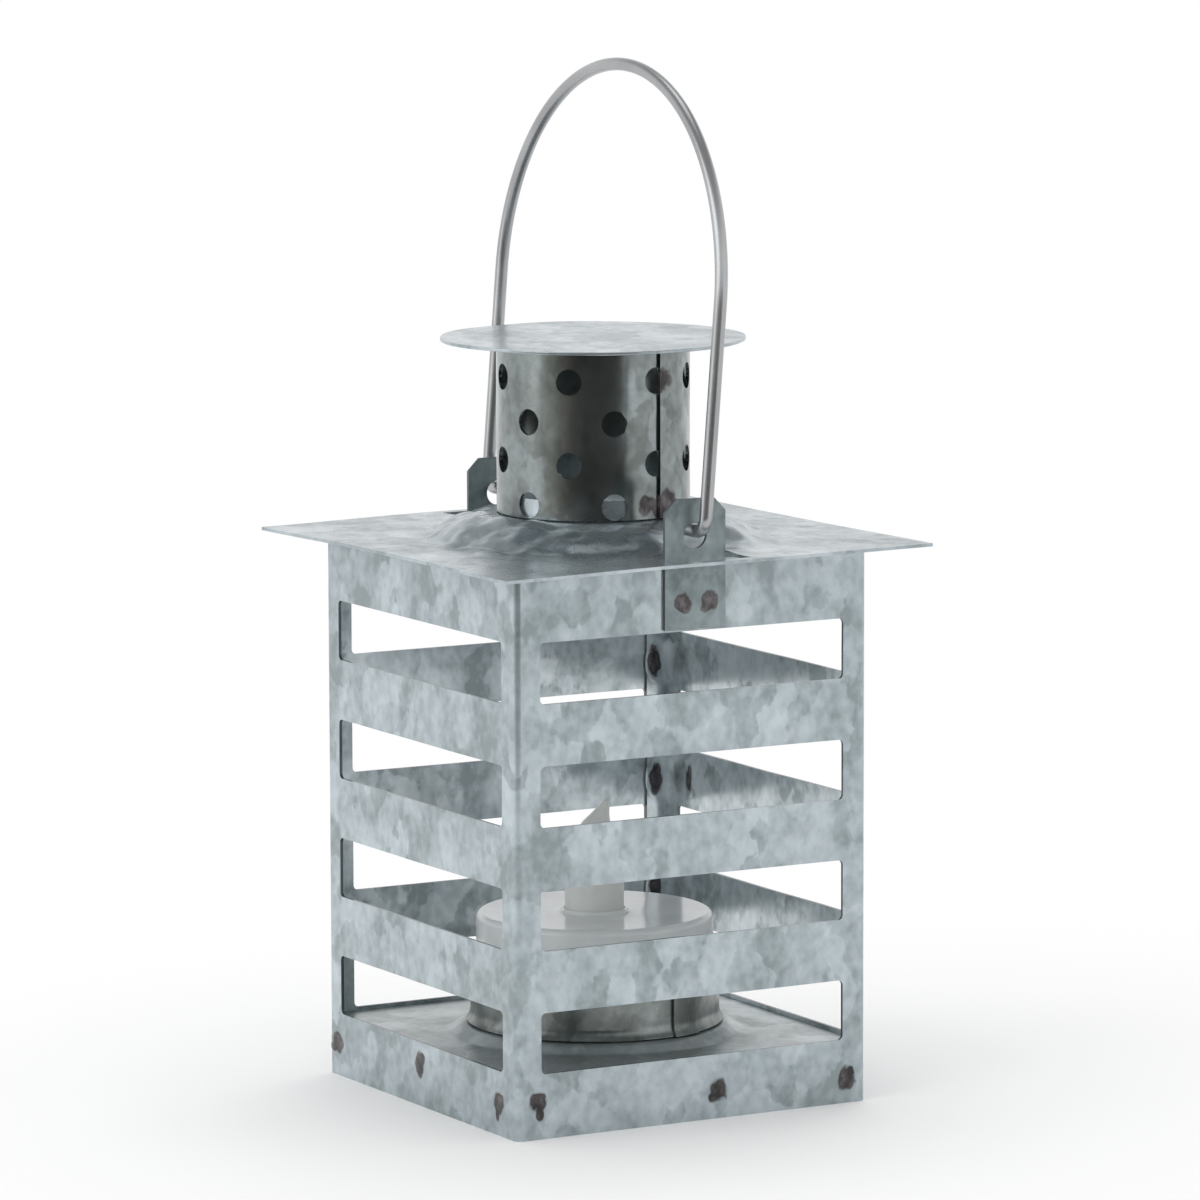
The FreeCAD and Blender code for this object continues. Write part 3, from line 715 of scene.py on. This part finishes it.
def turn_down(piece, depth):
    """Extrudes the open rim of a sheet straight down."""
    edit(piece)
    bpy.ops.mesh.select_all(action="DESELECT")
    bpy.ops.mesh.select_mode(type="EDGE")
    bpy.ops.mesh.select_non_manifold(extend=False, use_wire=False, use_multi_face=False,
                                     use_non_contiguous=False, use_verts=False)
    bpy.ops.mesh.extrude_edges_move(TRANSFORM_OT_translate={"value": (0, 0, -depth)})
    close_edit()


def press_share(place):
    """One round the step, nought inside it and at the rim."""
    on_plate = max(abs(place.x), abs(place.y)) < TRAY_LUMP_END
    return (hypot(place.x, place.y) - TRAY_LUMP_START) / TRAY_LUMP_FADE * on_plate


tray_outline = [(radius * MM, STEP_FLOOR) for radius in (0, 8, 14, 19)]
for count in range(STEP_RINGS + 1):
    share = count / STEP_RINGS
    rise = STEP_RISE * (0.5 + 0.5 * cos(pi * share))
    tray_outline.append((STEP_LEDGE + (STEP_FOOT - STEP_LEDGE) * share, TRAY_TOP + rise))
tray_outline += [(radius * MM, TRAY_TOP) for radius in (25, 27, 29)]
tray_outline.append((TRAY_HALF, TRAY_TOP))
tray = lathe("pressed_floor", tray_outline, steps=128)
face_outward(tray, 1)
pull_square(tray, TRAY_PULL_START, TRAY_HALF)
weigh(tray, "press", press_share)
lumps(tray, height=0.2 * MM, size=9 * MM, group="press", direction="Z")
turn_down(tray, TRAY_TOP - tray_low.z)
modify(tray, "SOLIDIFY", thickness=SHEET, offset=-1, use_even_offset=True)
ease_edges(tray, width=0.25 * MM, angle=60)
dress(tray, "root", "galvanised_sheet", tray_zinc, "base_tray", smooth=PRESSED_SMOOTH)

# %% [markdown]
# ## The candle cup
# A narrow strip rolled into a ring, with its foot turned out a little and its ends lapped. A short cylinder
# would miss the foot, so a formula draws the outline and the lathe rolls it up. The lapped end is a second
# short arc of the same outline, one sheet further out.

# %% The candle cup
cup_low, cup_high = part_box("candle_cup")
CUP_OUTER = 19.55 * MM
CUP_SEAM = radians(8.6)
CUP_LAP = radians(14.0)
CUP_FOOT = 0.75 * MM
CUP_FOOT_SHARE = 0.3
CUP_RINGS = 24


def cup_flare(share):
    """How far the cup's foot turns out, at a share of its height."""
    return CUP_FOOT * max(0.0, 1 - share / CUP_FOOT_SHARE) ** 2


cup_shares = [count / CUP_RINGS for count in range(CUP_RINGS + 1)]
cup_heights = [cup_low.z + (cup_high.z - cup_low.z) * share for share in cup_shares]
cup_radii = [CUP_OUTER - SHEET + cup_flare(share) for share in cup_shares]
hoop = rolled("candle_hoop", list(zip(cup_radii, cup_heights)), CUP_SEAM, 2 * pi, steps=120)
lap_outline = [(radius + SHEET, height) for radius, height in zip(cup_radii, cup_heights)]
lap = rolled("hoop_lap", lap_outline, CUP_SEAM, CUP_LAP, steps=8)
hoop = join([hoop, lap], "rolled_hoop")
ease_edges(hoop, width=0.08 * MM, angle=50)
dress(hoop, "root", "galvanised_sheet", cup_zinc, "candle_cup")

# %% [markdown]
# ## The ears
# Two strips with clipped corners and an eye, cut with shears and punched. The CAD solid has the outline, so
# a merged copy with a small bevel is enough. The narrow faces are marked as bare.

# %% The ears
for node, name in (("ear_right", "ear_near"), ("ear_left", "ear_far")):
    ear = copy_node(node, name)
    ease_edges(ear, width=0.12 * MM, angle=40)
    mark_faces(ear, "sheared", lambda face: abs(face.normal.x) < SIDEWAYS)
    dress(ear, "root", "galvanised_sheet", ear_zinc, node)

# %% [markdown]
# ## The roof's sheet
# A square sheet with a round dome pressed up in the middle and a collar turned up for the chimney. It could
# be shaped from a plane, but like the floor it starts on the lathe, from the collar over the dome to the
# flat, because the rings follow the dome. The outer rings are pulled out to the square.

# %% The roof's sheet
roof_low, roof_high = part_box("roof_plate")
chimney_low, chimney_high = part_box("chimney")
ROOF_HALF = 38.1 * MM
ROOF_TOP = roof_low.z + SHEET
DOME_TOP = chimney_low.z
DOME_FOOT = 26.2 * MM
DOME_FLAT = 16.05 * MM
DOME_RINGS = 22
COLLAR_OUTER = 14.5 * MM
COLLAR_BEND = 0.4 * MM
BEND_MIDDLE = 0.12 * MM
FOOT_SHARE = 0.18
FOOT_RISE = 0.22
FOOT_CURVE = 1.7
CROWN_CURVE = 0.86


def dome_height(share):
    """Height of the dome, from nought at its foot to one at its top."""
    if share < FOOT_SHARE:
        return FOOT_RISE * (share / FOOT_SHARE) ** FOOT_CURVE
    crown = (share - FOOT_SHARE) / (1 - FOOT_SHARE)
    return FOOT_RISE + (1 - FOOT_RISE) * sin(crown * pi / 2) ** CROWN_CURVE


roof_outline = [(COLLAR_OUTER, roof_high.z), (COLLAR_OUTER, DOME_TOP + COLLAR_BEND)]
roof_outline.append((COLLAR_OUTER + BEND_MIDDLE, DOME_TOP + BEND_MIDDLE))
roof_outline.append((COLLAR_OUTER + COLLAR_BEND, DOME_TOP))
for count in range(DOME_RINGS + 1):
    share = 1 - count / DOME_RINGS
    radius = DOME_FOOT + (DOME_FLAT - DOME_FOOT) * share
    roof_outline.append((radius, ROOF_TOP + (DOME_TOP - ROOF_TOP) * dome_height(share)))
roof_outline += [(radius * MM, ROOF_TOP) for radius in (27, 28.5, 30, 32, 34, 36)]
roof_outline.append((ROOF_HALF, ROOF_TOP))
roof = lathe("pressed_roof", roof_outline, steps=160)
face_outward(roof, 1)
pull_square(roof, DOME_FOOT + MM, ROOF_HALF)
print("roof sheet has", len(roof.data.vertices), "points")

# %% [markdown]
# ## The roof's lumps, corners and slots
# The press left the dome lumpy, and handling bent the corners. Sculpting would do, but lumps by weight can
# be repeated: full on the slope, a quarter on the flat, none at the collar and the rim. The corners are
# moved with a soft falloff. Then the sheet gets its thickness, two blocks punch the slots for the ears, and
# the roof is turned a little, as it lies.

# %% The roof's lumps, corners and slots
LUMP_START = 15.2 * MM
LUMP_END = 29 * MM
LUMP_FADE = 3 * MM
LUMP_ON_FLAT = 0.25
LUMP_RIM = 35 * MM
# height and size of the large and the small lumps
ROOF_LUMPS = [(2.4 * MM, 8 * MM), (0.85 * MM, 3.2 * MM)]
# lift in mm of each corner
CORNER_LIFTS = {(-1, -1): -0.35, (1, 1): 0.15, (1, -1): -0.3, (-1, 1): 0.1}
CORNER_SHARE = 0.99
CORNER_REACH = 30 * MM
SLOT_REACH = (27.9 * MM, 36.1 * MM)
SLOT_HALF = 6.4 * MM
PUNCH_DEPTH = 8 * MM
ROOF_TURN = radians(1.6)


def dome_share(place):
    """One on the dome's slope, a quarter on the flat, nought at the chimney and the rim."""
    radius = hypot(place.x, place.y)
    rise = clamp((radius - LUMP_START) / LUMP_FADE)
    fall = clamp((LUMP_END - radius) / LUMP_FADE, LUMP_ON_FLAT)
    on_rim = max(abs(place.x), abs(place.y)) > LUMP_RIM
    return 0.0 if on_rim else rise * fall


weigh(roof, "pressed", dome_share)
for height, size in ROOF_LUMPS:
    lumps(roof, height, size, "pressed", "Z")
for (side_x, side_y), corner_lift in CORNER_LIFTS.items():
    edit(roof)
    bpy.ops.mesh.select_all(action="DESELECT")
    close_edit()
    edge = CORNER_SHARE * ROOF_HALF
    for vertex in roof.data.vertices:
        vertex.select = side_x * vertex.co.x > edge and side_y * vertex.co.y > edge
    bpy.ops.object.mode_set(mode="EDIT")
    bpy.ops.transform.translate(value=(0, 0, corner_lift * MM), use_proportional_edit=True,
                                proportional_size=CORNER_REACH, proportional_edit_falloff="SMOOTH")
    close_edit()
modify(roof, "SOLIDIFY", thickness=SHEET, offset=-1, use_even_offset=True)
for side in (-1, 1):
    bpy.ops.mesh.primitive_cube_add(size=1, location=(side * sum(SLOT_REACH) / 2, 0, ROOF_TOP))
    punch = bpy.context.object
    punch.scale = (SLOT_REACH[1] - SLOT_REACH[0], 2 * SLOT_HALF, PUNCH_DEPTH)
    settle(punch)
    cut_away(roof, punch)
ease_edges(roof, width=0.09 * MM, angle=55)
roof.rotation_euler = (0, 0, ROOF_TURN)
dress(roof, "roof", "galvanised_sheet", roof_zinc, "roof_plate", smooth=PRESSED_SMOOTH)

# %% [markdown]
# ## The chimney's tube
# The chimney is a strip of sheet rolled into a tube. A plain cylinder would be too round. The lathe gives
# the tube many rings, gentle lumps make it uneven, less so at its ends, and Solidify makes it sheet. A hair
# of space at its foot keeps it clear of the lumpy dome.

# %% The chimney's tube
CHIMNEY_OUTER = 15.05 * MM
CHIMNEY_SEAM = radians(10.8)
CHIMNEY_GAP = 0.25 * MM
TUBE_RINGS = 32
TUBE_MIDDLE = (DOME_TOP + MM, chimney_high.z - MM)
TUBE_END_SHARE = 0.3

tube_foot = DOME_TOP + CHIMNEY_GAP
tube_height = chimney_high.z - tube_foot
tube_heights = [tube_foot + tube_height * count / TUBE_RINGS for count in range(TUBE_RINGS + 1)]
inner_line = [(CHIMNEY_OUTER - SHEET, height) for height in tube_heights]
tube = spun("chimney_tube", inner_line, CHIMNEY_SEAM, -2 * pi, steps=144)
face_outward(tube, 0)
weigh(tube, "rolled", lambda place: 1.0 if TUBE_MIDDLE[0] < place.z < TUBE_MIDDLE[1] else TUBE_END_SHARE)
lumps(tube, height=0.14 * MM, size=8 * MM, group="rolled")
modify(tube, "SOLIDIFY", thickness=SHEET, offset=1)
print("chimney tube is", round(tube_height / MM, 2), "mm high")

# %% [markdown]
# ## The chimney's holes and lap
# Four rows of holes were punched in the strip before it was rolled, each row half a step on from the last.
# Here one joined set of pins cuts them all with a single boolean, which is quicker than one for each hole.
# The lap is laid on afterwards, so that it covers half of the hole at the seam, as on the real one.

# %% The chimney's holes and lap
CHIMNEY_LAP = radians(20.0)
VENT_RADIUS = 2.025 * MM
VENT_TOP_DROP = 5.2 * MM
VENT_ROWS = 4
VENT_ROW_PITCH = 6.43 * MM
VENTS_IN_ROW = 7
VENT_FIRST = radians(8.8)
VENT_STEP = radians(54.2)

pins = []
for row in range(VENT_ROWS):
    staggered = row % 2
    level = chimney_high.z - VENT_TOP_DROP - row * VENT_ROW_PITCH
    for count in range(VENTS_IN_ROW - staggered):
        angle = VENT_FIRST - staggered * VENT_STEP / 2 - count * VENT_STEP
        place = (CHIMNEY_OUTER * cos(angle), CHIMNEY_OUTER * sin(angle), level)
        bpy.ops.mesh.primitive_cylinder_add(vertices=40, radius=VENT_RADIUS, depth=6 * MM,
                                            location=place, rotation=(0, pi / 2, angle))
        pin = bpy.context.object
        settle(pin)
        pins.append(pin)
cut_away(tube, join(pins, "vent_pins"))
outer_line = [(CHIMNEY_OUTER, height) for height in tube_heights]
lap = rolled("chimney_lap", outer_line, CHIMNEY_SEAM, CHIMNEY_LAP, steps=16)
tube = join([tube, lap], "vented_chimney")
ease_edges(tube, width=0.07 * MM, angle=55)
print("chimney has", len(pins), "holes")

# %% [markdown]
# ## The chimney's burns
# Spot welds near the top and the foot hold the seam, and each left a dark burn and a dent. A flat mark would
# stand off the curve, so the burn is a value stored on the tube's own points, one in the middle of a weld,
# and the same value presses the dent.

# %% The chimney's burns
# angle from the seam in degrees, height below the tube's top in mm, and radius in mm
SEAM_BURNS = [(0.5, 5.3, 3.0), (7.0, 23.6, 2.6), (-8.5, 24.2, 2.2), (1.5, 25.4, 2.4)]
DENT = 0.12 * MM


def seam_burn(place):
    """One in the middle of a weld on the seam, falling to nought round it."""
    share = 0.0
    for lead, drop, radius in SEAM_BURNS:
        angle = CHIMNEY_SEAM + radians(lead)
        out = Vector((cos(angle), sin(angle), 0)) * CHIMNEY_OUTER
        middle = out + Vector((0, 0, chimney_high.z - drop * MM))
        share = max(share, 1 - (place - middle).length / (radius * MM))
    return share


burn = tube.data.attributes.new("burn", "FLOAT", "POINT")
for vertex in tube.data.vertices:
    share = seam_burn(vertex.co)
    burn.data[vertex.index].value = share
    vertex.co -= away(vertex.co) * DENT * share
mark_faces(tube, "sheared", lambda face: abs(face.normal.dot(away(face.center))) < SIDEWAYS)
tube.rotation_euler = (0, 0, ROOF_TURN)
dress(tube, "roof", "galvanised_sheet", chimney_zinc, "chimney")

# %% [markdown]
# ## The cap
# A plain disc, sheared from sheet and welded on the chimney. A flat cylinder would look machined. The lathe
# gives the disc rings that can bend, a soft wave moves its rim by a fraction of a millimetre, and Solidify
# and a bevel make it sheet.

# %% The cap
cap_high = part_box("chimney_cap")[1]
CAP_RADIUS = cap_high.x
CAP_RINGS = 12
CAP_WAVE_START = 15 * MM
CAP_WAVE_FADE = 9 * MM

cap_outline = [(CAP_RADIUS * count / CAP_RINGS, cap_high.z) for count in range(CAP_RINGS + 1)]
cap = lathe("cap_disc", cap_outline, steps=128)
face_outward(cap, 1)
weigh(cap, "rim", lambda place: (hypot(place.x, place.y) - CAP_WAVE_START) / CAP_WAVE_FADE)
lumps(cap, height=0.6 * MM, size=26 * MM, group="rim", direction="Z")
modify(cap, "SOLIDIFY", thickness=SHEET, offset=-1)
ease_edges(cap, width=0.12 * MM, angle=50)
dress(cap, "roof", "galvanised_sheet", roof_zinc, "chimney_cap")

# %% [markdown]
# ## The bail
# The handle is one length of round wire with hooked ends. A curve with a round section would do, but its
# bends are harder to place. So the wire is modelled as it would be bent: a ring of points, pushed out for
# the tail, spun a quarter turn for the hook, pushed up for the leg, spun a half turn for the grip, and the
# same back down. The finished wire leans a little, as it rests.

# %% The bail
WIRE = 1.0 * MM
PIVOT = 91.5 * MM
TAIL_REACH = 28.2 * MM
LEG_REACH = 34.5 * MM
LEG_RISE = 34.7 * MM
LEG_STEPS = 10
HOOK_BEND = 2.4 * MM
HOOK_STEPS = 8
HOOK_REACH = LEG_REACH - HOOK_BEND
GRIP_STEPS = 72
BAIL_LEAN = radians(4.5)


def push(x, z):
    bpy.ops.mesh.extrude_edges_move(TRANSFORM_OT_translate={"value": (x, 0, z)})


def bend(middle_x, middle_z, angle, steps):
    bpy.ops.mesh.spin(steps=steps, angle=angle, center=(middle_x, 0, middle_z), axis=(0, 1, 0))


def leg(rise):
    """Pushes the end of the wire along a leg in equal steps."""
    for count in range(LEG_STEPS):
        push(0, rise / LEG_STEPS)


bpy.ops.mesh.primitive_circle_add(vertices=24, radius=WIRE, location=(-TAIL_REACH, 0, PIVOT),
                                  rotation=(0, pi / 2, 0))
wire = bpy.context.object
wire.name = "bent_wire"
settle(wire)
edit(wire)
push(TAIL_REACH - HOOK_REACH, 0)
bend(-HOOK_REACH, PIVOT + HOOK_BEND, -pi / 2, HOOK_STEPS)
leg(LEG_RISE - HOOK_BEND)
bend(0, PIVOT + LEG_RISE, -pi, GRIP_STEPS)
leg(HOOK_BEND - LEG_RISE)
bend(HOOK_REACH, PIVOT + HOOK_BEND, -pi / 2, HOOK_STEPS)
push(TAIL_REACH - HOOK_REACH, 0)
bpy.ops.mesh.select_all(action="SELECT")
bpy.ops.mesh.remove_doubles(threshold=MERGE)
bpy.ops.mesh.fill_holes(sides=0)
bpy.ops.mesh.normals_make_consistent(inside=False)
close_edit()
ease_edges(wire, width=0.2 * MM, angle=60)
hinge = Matrix.Translation((0, 0, PIVOT))
wire.matrix_world = hinge @ Matrix.Rotation(-BAIL_LEAN, 4, "X") @ hinge.inverted()
dress(wire, "bail", "bail_wire", wire_steel, "bail")
print("wire is", round(wire.dimensions.z / MM, 2), "mm high")

# %% [markdown]
# ## The tea light's housing
# The housing is moulded in white plastic: a smooth drum with a rounded shoulder, a slightly hollow deck and
# a low ring round the flame. A bevelled cylinder would have a flat deck. With the whole outline on the
# lathe, outside and inside, every step of the mould can be drawn.

# %% The tea light's housing
shell_low, shell_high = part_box("candle_shell")
CANDLE_RADIUS = shell_high.x
CANDLE_WALL = 1.2 * MM
CANDLE_BORE = CANDLE_RADIUS - CANDLE_WALL
RING_HEIGHT = 0.5 * MM
RING_OUTER = 5.35 * MM
RING_FOOT = 0.15 * MM
RING_ROUND = 0.2 * MM
DECK = shell_high.z - RING_HEIGHT
# radius and depth of the hollow deck, in mm
DECK_HOLLOW = [(14, 0.12), (9, 0.15), (6.2, 0.1)]
SHOULDER = 1.0 * MM
SHOULDER_STEPS = 8
FLAME_HOLE = 4.75 * MM
HOLE_EDGE = 0.1 * MM

shell_outline = [(CANDLE_BORE, shell_low.z), (CANDLE_RADIUS, shell_low.z)]
shell_outline.append((CANDLE_RADIUS, (shell_low.z + DECK) / 2))
for count in range(SHOULDER_STEPS + 1):
    angle = pi / 2 * count / SHOULDER_STEPS
    radius = CANDLE_RADIUS - SHOULDER + SHOULDER * cos(angle)
    shell_outline.append((radius, DECK - SHOULDER + SHOULDER * sin(angle)))
shell_outline += [(radius * MM, DECK - depth * MM) for radius, depth in DECK_HOLLOW]
shell_outline += [(RING_OUTER + RING_FOOT, DECK), (RING_OUTER, DECK + RING_ROUND)]
shell_outline += [(RING_OUTER - RING_ROUND, shell_high.z), (FLAME_HOLE + HOLE_EDGE, shell_high.z)]
shell_outline += [(FLAME_HOLE, shell_high.z - HOLE_EDGE), (FLAME_HOLE, DECK - CANDLE_WALL)]
shell_outline += [(CANDLE_BORE, DECK - CANDLE_WALL), (CANDLE_BORE, shell_low.z)]
housing = lathe("tea_light_housing", shell_outline, steps=128)
dress(housing, "candle", "candle_plastic", candle_white, "candle_shell", smooth=PRESSED_SMOOTH)

# %% [markdown]
# ## The flame
# The flame is a frosted hollow cone that narrows to a tip bent to one side, with a flange under the deck. It
# could be sculpted, but a table of rings is easier to correct against the photograph. The lathe turns a
# straight flame, and its tip is then carried sideways.

# %% The flame
flame_low, flame_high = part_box("flame_lens")
FLAME_RADIUS = 4.65 * MM
FLAME_FLANGE = FLAME_RADIUS + 1.3 * MM
FLAME_BORE = 2.7 * MM
FLAME_STEM = 6.2 * MM
BORE_TIP = flame_high.z - 9 * MM
BORE_NECK = flame_high.z - 12 * MM
TIP_SHIFT = 2.1 * MM
TIP_ANGLE = radians(60.6)
TAPER = flame_high.z - DECK - FLAME_STEM
ON_AXIS = 0.01 * MM
# share of the taper's height, of the radius and of the tip's shift
FLAME_RINGS = [(0.0, 1.0, 0.0), (0.1, 0.97, 0.0), (0.22, 0.91, 0.0), (0.34, 0.835, 0.02),
               (0.46, 0.74, 0.03), (0.58, 0.6, 0.05), (0.69, 0.46, 0.17), (0.79, 0.32, 0.42),
               (0.89, 0.2, 0.7), (0.96, 0.12, 0.9), (0.99, 0.06, 0.98)]


def tip_shift(height):
    """The share of the tip's shift at a height."""
    rise = (height - DECK - FLAME_STEM) / TAPER
    for (low, _, before), (high, _, after) in zip(FLAME_RINGS, FLAME_RINGS[1:]):
        if low <= rise <= high:
            return before + (after - before) * (rise - low) / (high - low)
    return 1.0 if rise > 0.5 else 0.0


flame_outline = [(FLAME_BORE, flame_low.z), (FLAME_FLANGE, flame_low.z), (FLAME_FLANGE, DECK - CANDLE_WALL)]
flame_outline += [(FLAME_RADIUS, DECK - CANDLE_WALL), (FLAME_RADIUS, DECK + FLAME_STEM / 2)]
for rise, width, _ in FLAME_RINGS:
    flame_outline.append((FLAME_RADIUS * width, DECK + FLAME_STEM + TAPER * rise))
flame_outline += [(0, flame_high.z), (0, BORE_TIP), (FLAME_BORE, BORE_NECK), (FLAME_BORE, flame_low.z)]
flame = lathe("moulded_flame", flame_outline, steps=64)
for vertex in flame.data.vertices:
    in_bore = hypot(vertex.co.x, vertex.co.y) < ON_AXIS and vertex.co.z < flame_high.z - MM
    shift = 0.0 if in_bore else tip_shift(vertex.co.z) * TIP_SHIFT
    vertex.co += Vector((cos(TIP_ANGLE), sin(TIP_ANGLE), 0)) * shift
dress(flame, "candle", "flame_plastic", flame_frost, "flame_lens", smooth=PRESSED_SMOOTH)

# %% [markdown]
# ## One weld mark
# A spot weld leaves a burnt, slightly dented patch a few millimetres wide. It could be painted, but then
# every wall would have to be unwrapped. Here a mark is a very thin button from the lathe, with the burn
# stored on its points, which can be carried to any place on a flat sheet.

# %% One weld mark
# share of the radius, and height above the sheet in mm
MARK_OUTLINE = [(0, 0.03), (0.25, 0.032), (0.5, 0.03), (0.75, 0.02), (0.92, 0.004), (1.0, -0.02),
                (1.0, -0.06), (0, -0.06)]


def weld_mark(place, facing, radius, stretch):
    """A burnt button at a place in mm, facing off its sheet, with a radius in mm and an upright stretch."""
    outline = [(share * radius * MM, height * MM) for share, height in MARK_OUTLINE]
    mark = lathe("weld_mark", outline, steps=28)
    burn = mark.data.attributes.new("burn", "FLOAT", "POINT")
    for vertex in mark.data.vertices:
        burn.data[vertex.index].value = 1 - hypot(vertex.co.x, vertex.co.y) / (radius * MM)
    looks_in = Vector(place).dot(Vector(facing)) < 0
    # a mark that faces into the lantern gets the same painted light as the inner walls
    mark_faces(mark, "inside", lambda face: looks_in)
    turn = Vector(facing).to_track_quat("Z", "Y").to_matrix().to_4x4()
    stretched = turn @ Matrix.Diagonal((1, stretch, 1, 1))
    mark.data.transform(Matrix.Translation(Vector(place) * MM) @ stretched)
    return mark


print("a weld mark's outline has", len(MARK_OUTLINE), "points")

# %% [markdown]
# ## The weld marks
# Three spot welds hold each side of the floor, two hold each ear, and a row holds the lap inside the back
# corner. On the floor's sides the burnt zinc ran a little beside each weld. The place of a smudge on an
# inner wall is looked up on the mesh, because the sheet is wavy there. Marks with one finish are joined.

# %% The weld marks
WALL_FACE = 31.0
EAR_FACE = WALL_FACE + 0.6
LAP_FACE = -30.0
# place along the wall and height in mm, on the walls that face X and on those that face Y
BAND_MARKS = [[(-27.3, 5.7), (4.3, 4.4), (27.3, 3.8)], [(-28.0, 5.3), (-0.3, 6.4), (25.3, 4.9)]]
# where the burnt zinc ran beside a mark: shift, drop, radius and stretch
RUNS = [(0.3, 1.8, 1.2, 1.4), (-0.9, 0.9, 1.5, 0.8), (0.8, -1.1, 1.3, 1.1), (-0.4, 1.5, 1.0, 1.7),
        (1.0, 0.7, 1.4, 1.0)]
LAP_PLACE = 28.2
LAP_LEVELS = (5.4, 24.4, 42.6, 61.5, 81.5)
SMUDGE_PLACE = (-22.7, 29.5, 43.0)
EAR_PLACES = {1: (-2.2, 2.4), -1: (-2.4, 2.2)}
EAR_LEVEL = 80.6
# radius in mm and upright stretch of each kind of mark
BAND_SIZE = (2.25, 1.2)
LAP_SIZE = (1.75, 2.1)
SMUDGE_SIZE = (1.4, 2.2)
EAR_SIZE = (2.1, 1.1)

marks = []
for count in range(4):
    quarter = Matrix.Rotation(pi / 2 * count, 3, "Z")
    facing = quarter @ Vector((1, 0, 0))
    for order, (along, level) in enumerate(BAND_MARKS[count % 2]):
        shift, drop, *run_size = RUNS[(2 * count + order) % len(RUNS)]
        marks.append(weld_mark(quarter @ Vector((WALL_FACE, along, level)), facing, *BAND_SIZE))
        run_place = quarter @ Vector((WALL_FACE, along + shift, level - drop))
        marks.append(weld_mark(run_place, facing, *run_size))
for level in LAP_LEVELS:
    marks.append(weld_mark((LAP_FACE, LAP_PLACE, level), (1, 0, 0), *LAP_SIZE))
spot, facing = walls.closest_point_on_mesh(Vector(SMUDGE_PLACE) * MM)[1:3]
marks.append(weld_mark(spot / MM, facing, *SMUDGE_SIZE))
dress(join(marks, "wall_weld_marks"), "root", "galvanised_sheet", wall_burn)

marks = []
for side, places in EAR_PLACES.items():
    for along in places:
        marks.append(weld_mark((side * EAR_FACE, along, EAR_LEVEL), (side, 0, 0), *EAR_SIZE))
dress(join(marks, "ear_weld_marks"), "root", "galvanised_sheet", ear_burn)

# %% [markdown]
# ## Inside the tea light
# The cell, the contacts, the lamp and the switch only show when the tea light is lifted out. They could be
# modelled again, but their CAD solids are already true to size, so they only get their finishes.

# %% Inside the tea light
INNER_FINISHES = {
    "candle_plastic": (candle_white, ["candle_base", "battery_door"]),
    "lamp_epoxy": (lamp_epoxy, ["led_bulb"]),
    "contact_metal": (contact_metal, ["led_leads", "positive_contact", "negative_contact", "switch_wiper"]),
    "cell_steel": (cell_steel, ["coin_cell"]),
    "switch_plastic": (switch_black, ["switch_slider"]),
}
for slot, (finish, nodes) in INNER_FINISHES.items():
    for node in nodes:
        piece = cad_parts[node]
        piece.data.materials.clear()
        piece.data.materials.append(finish)
print("inner finishes given:", len(INNER_FINISHES))
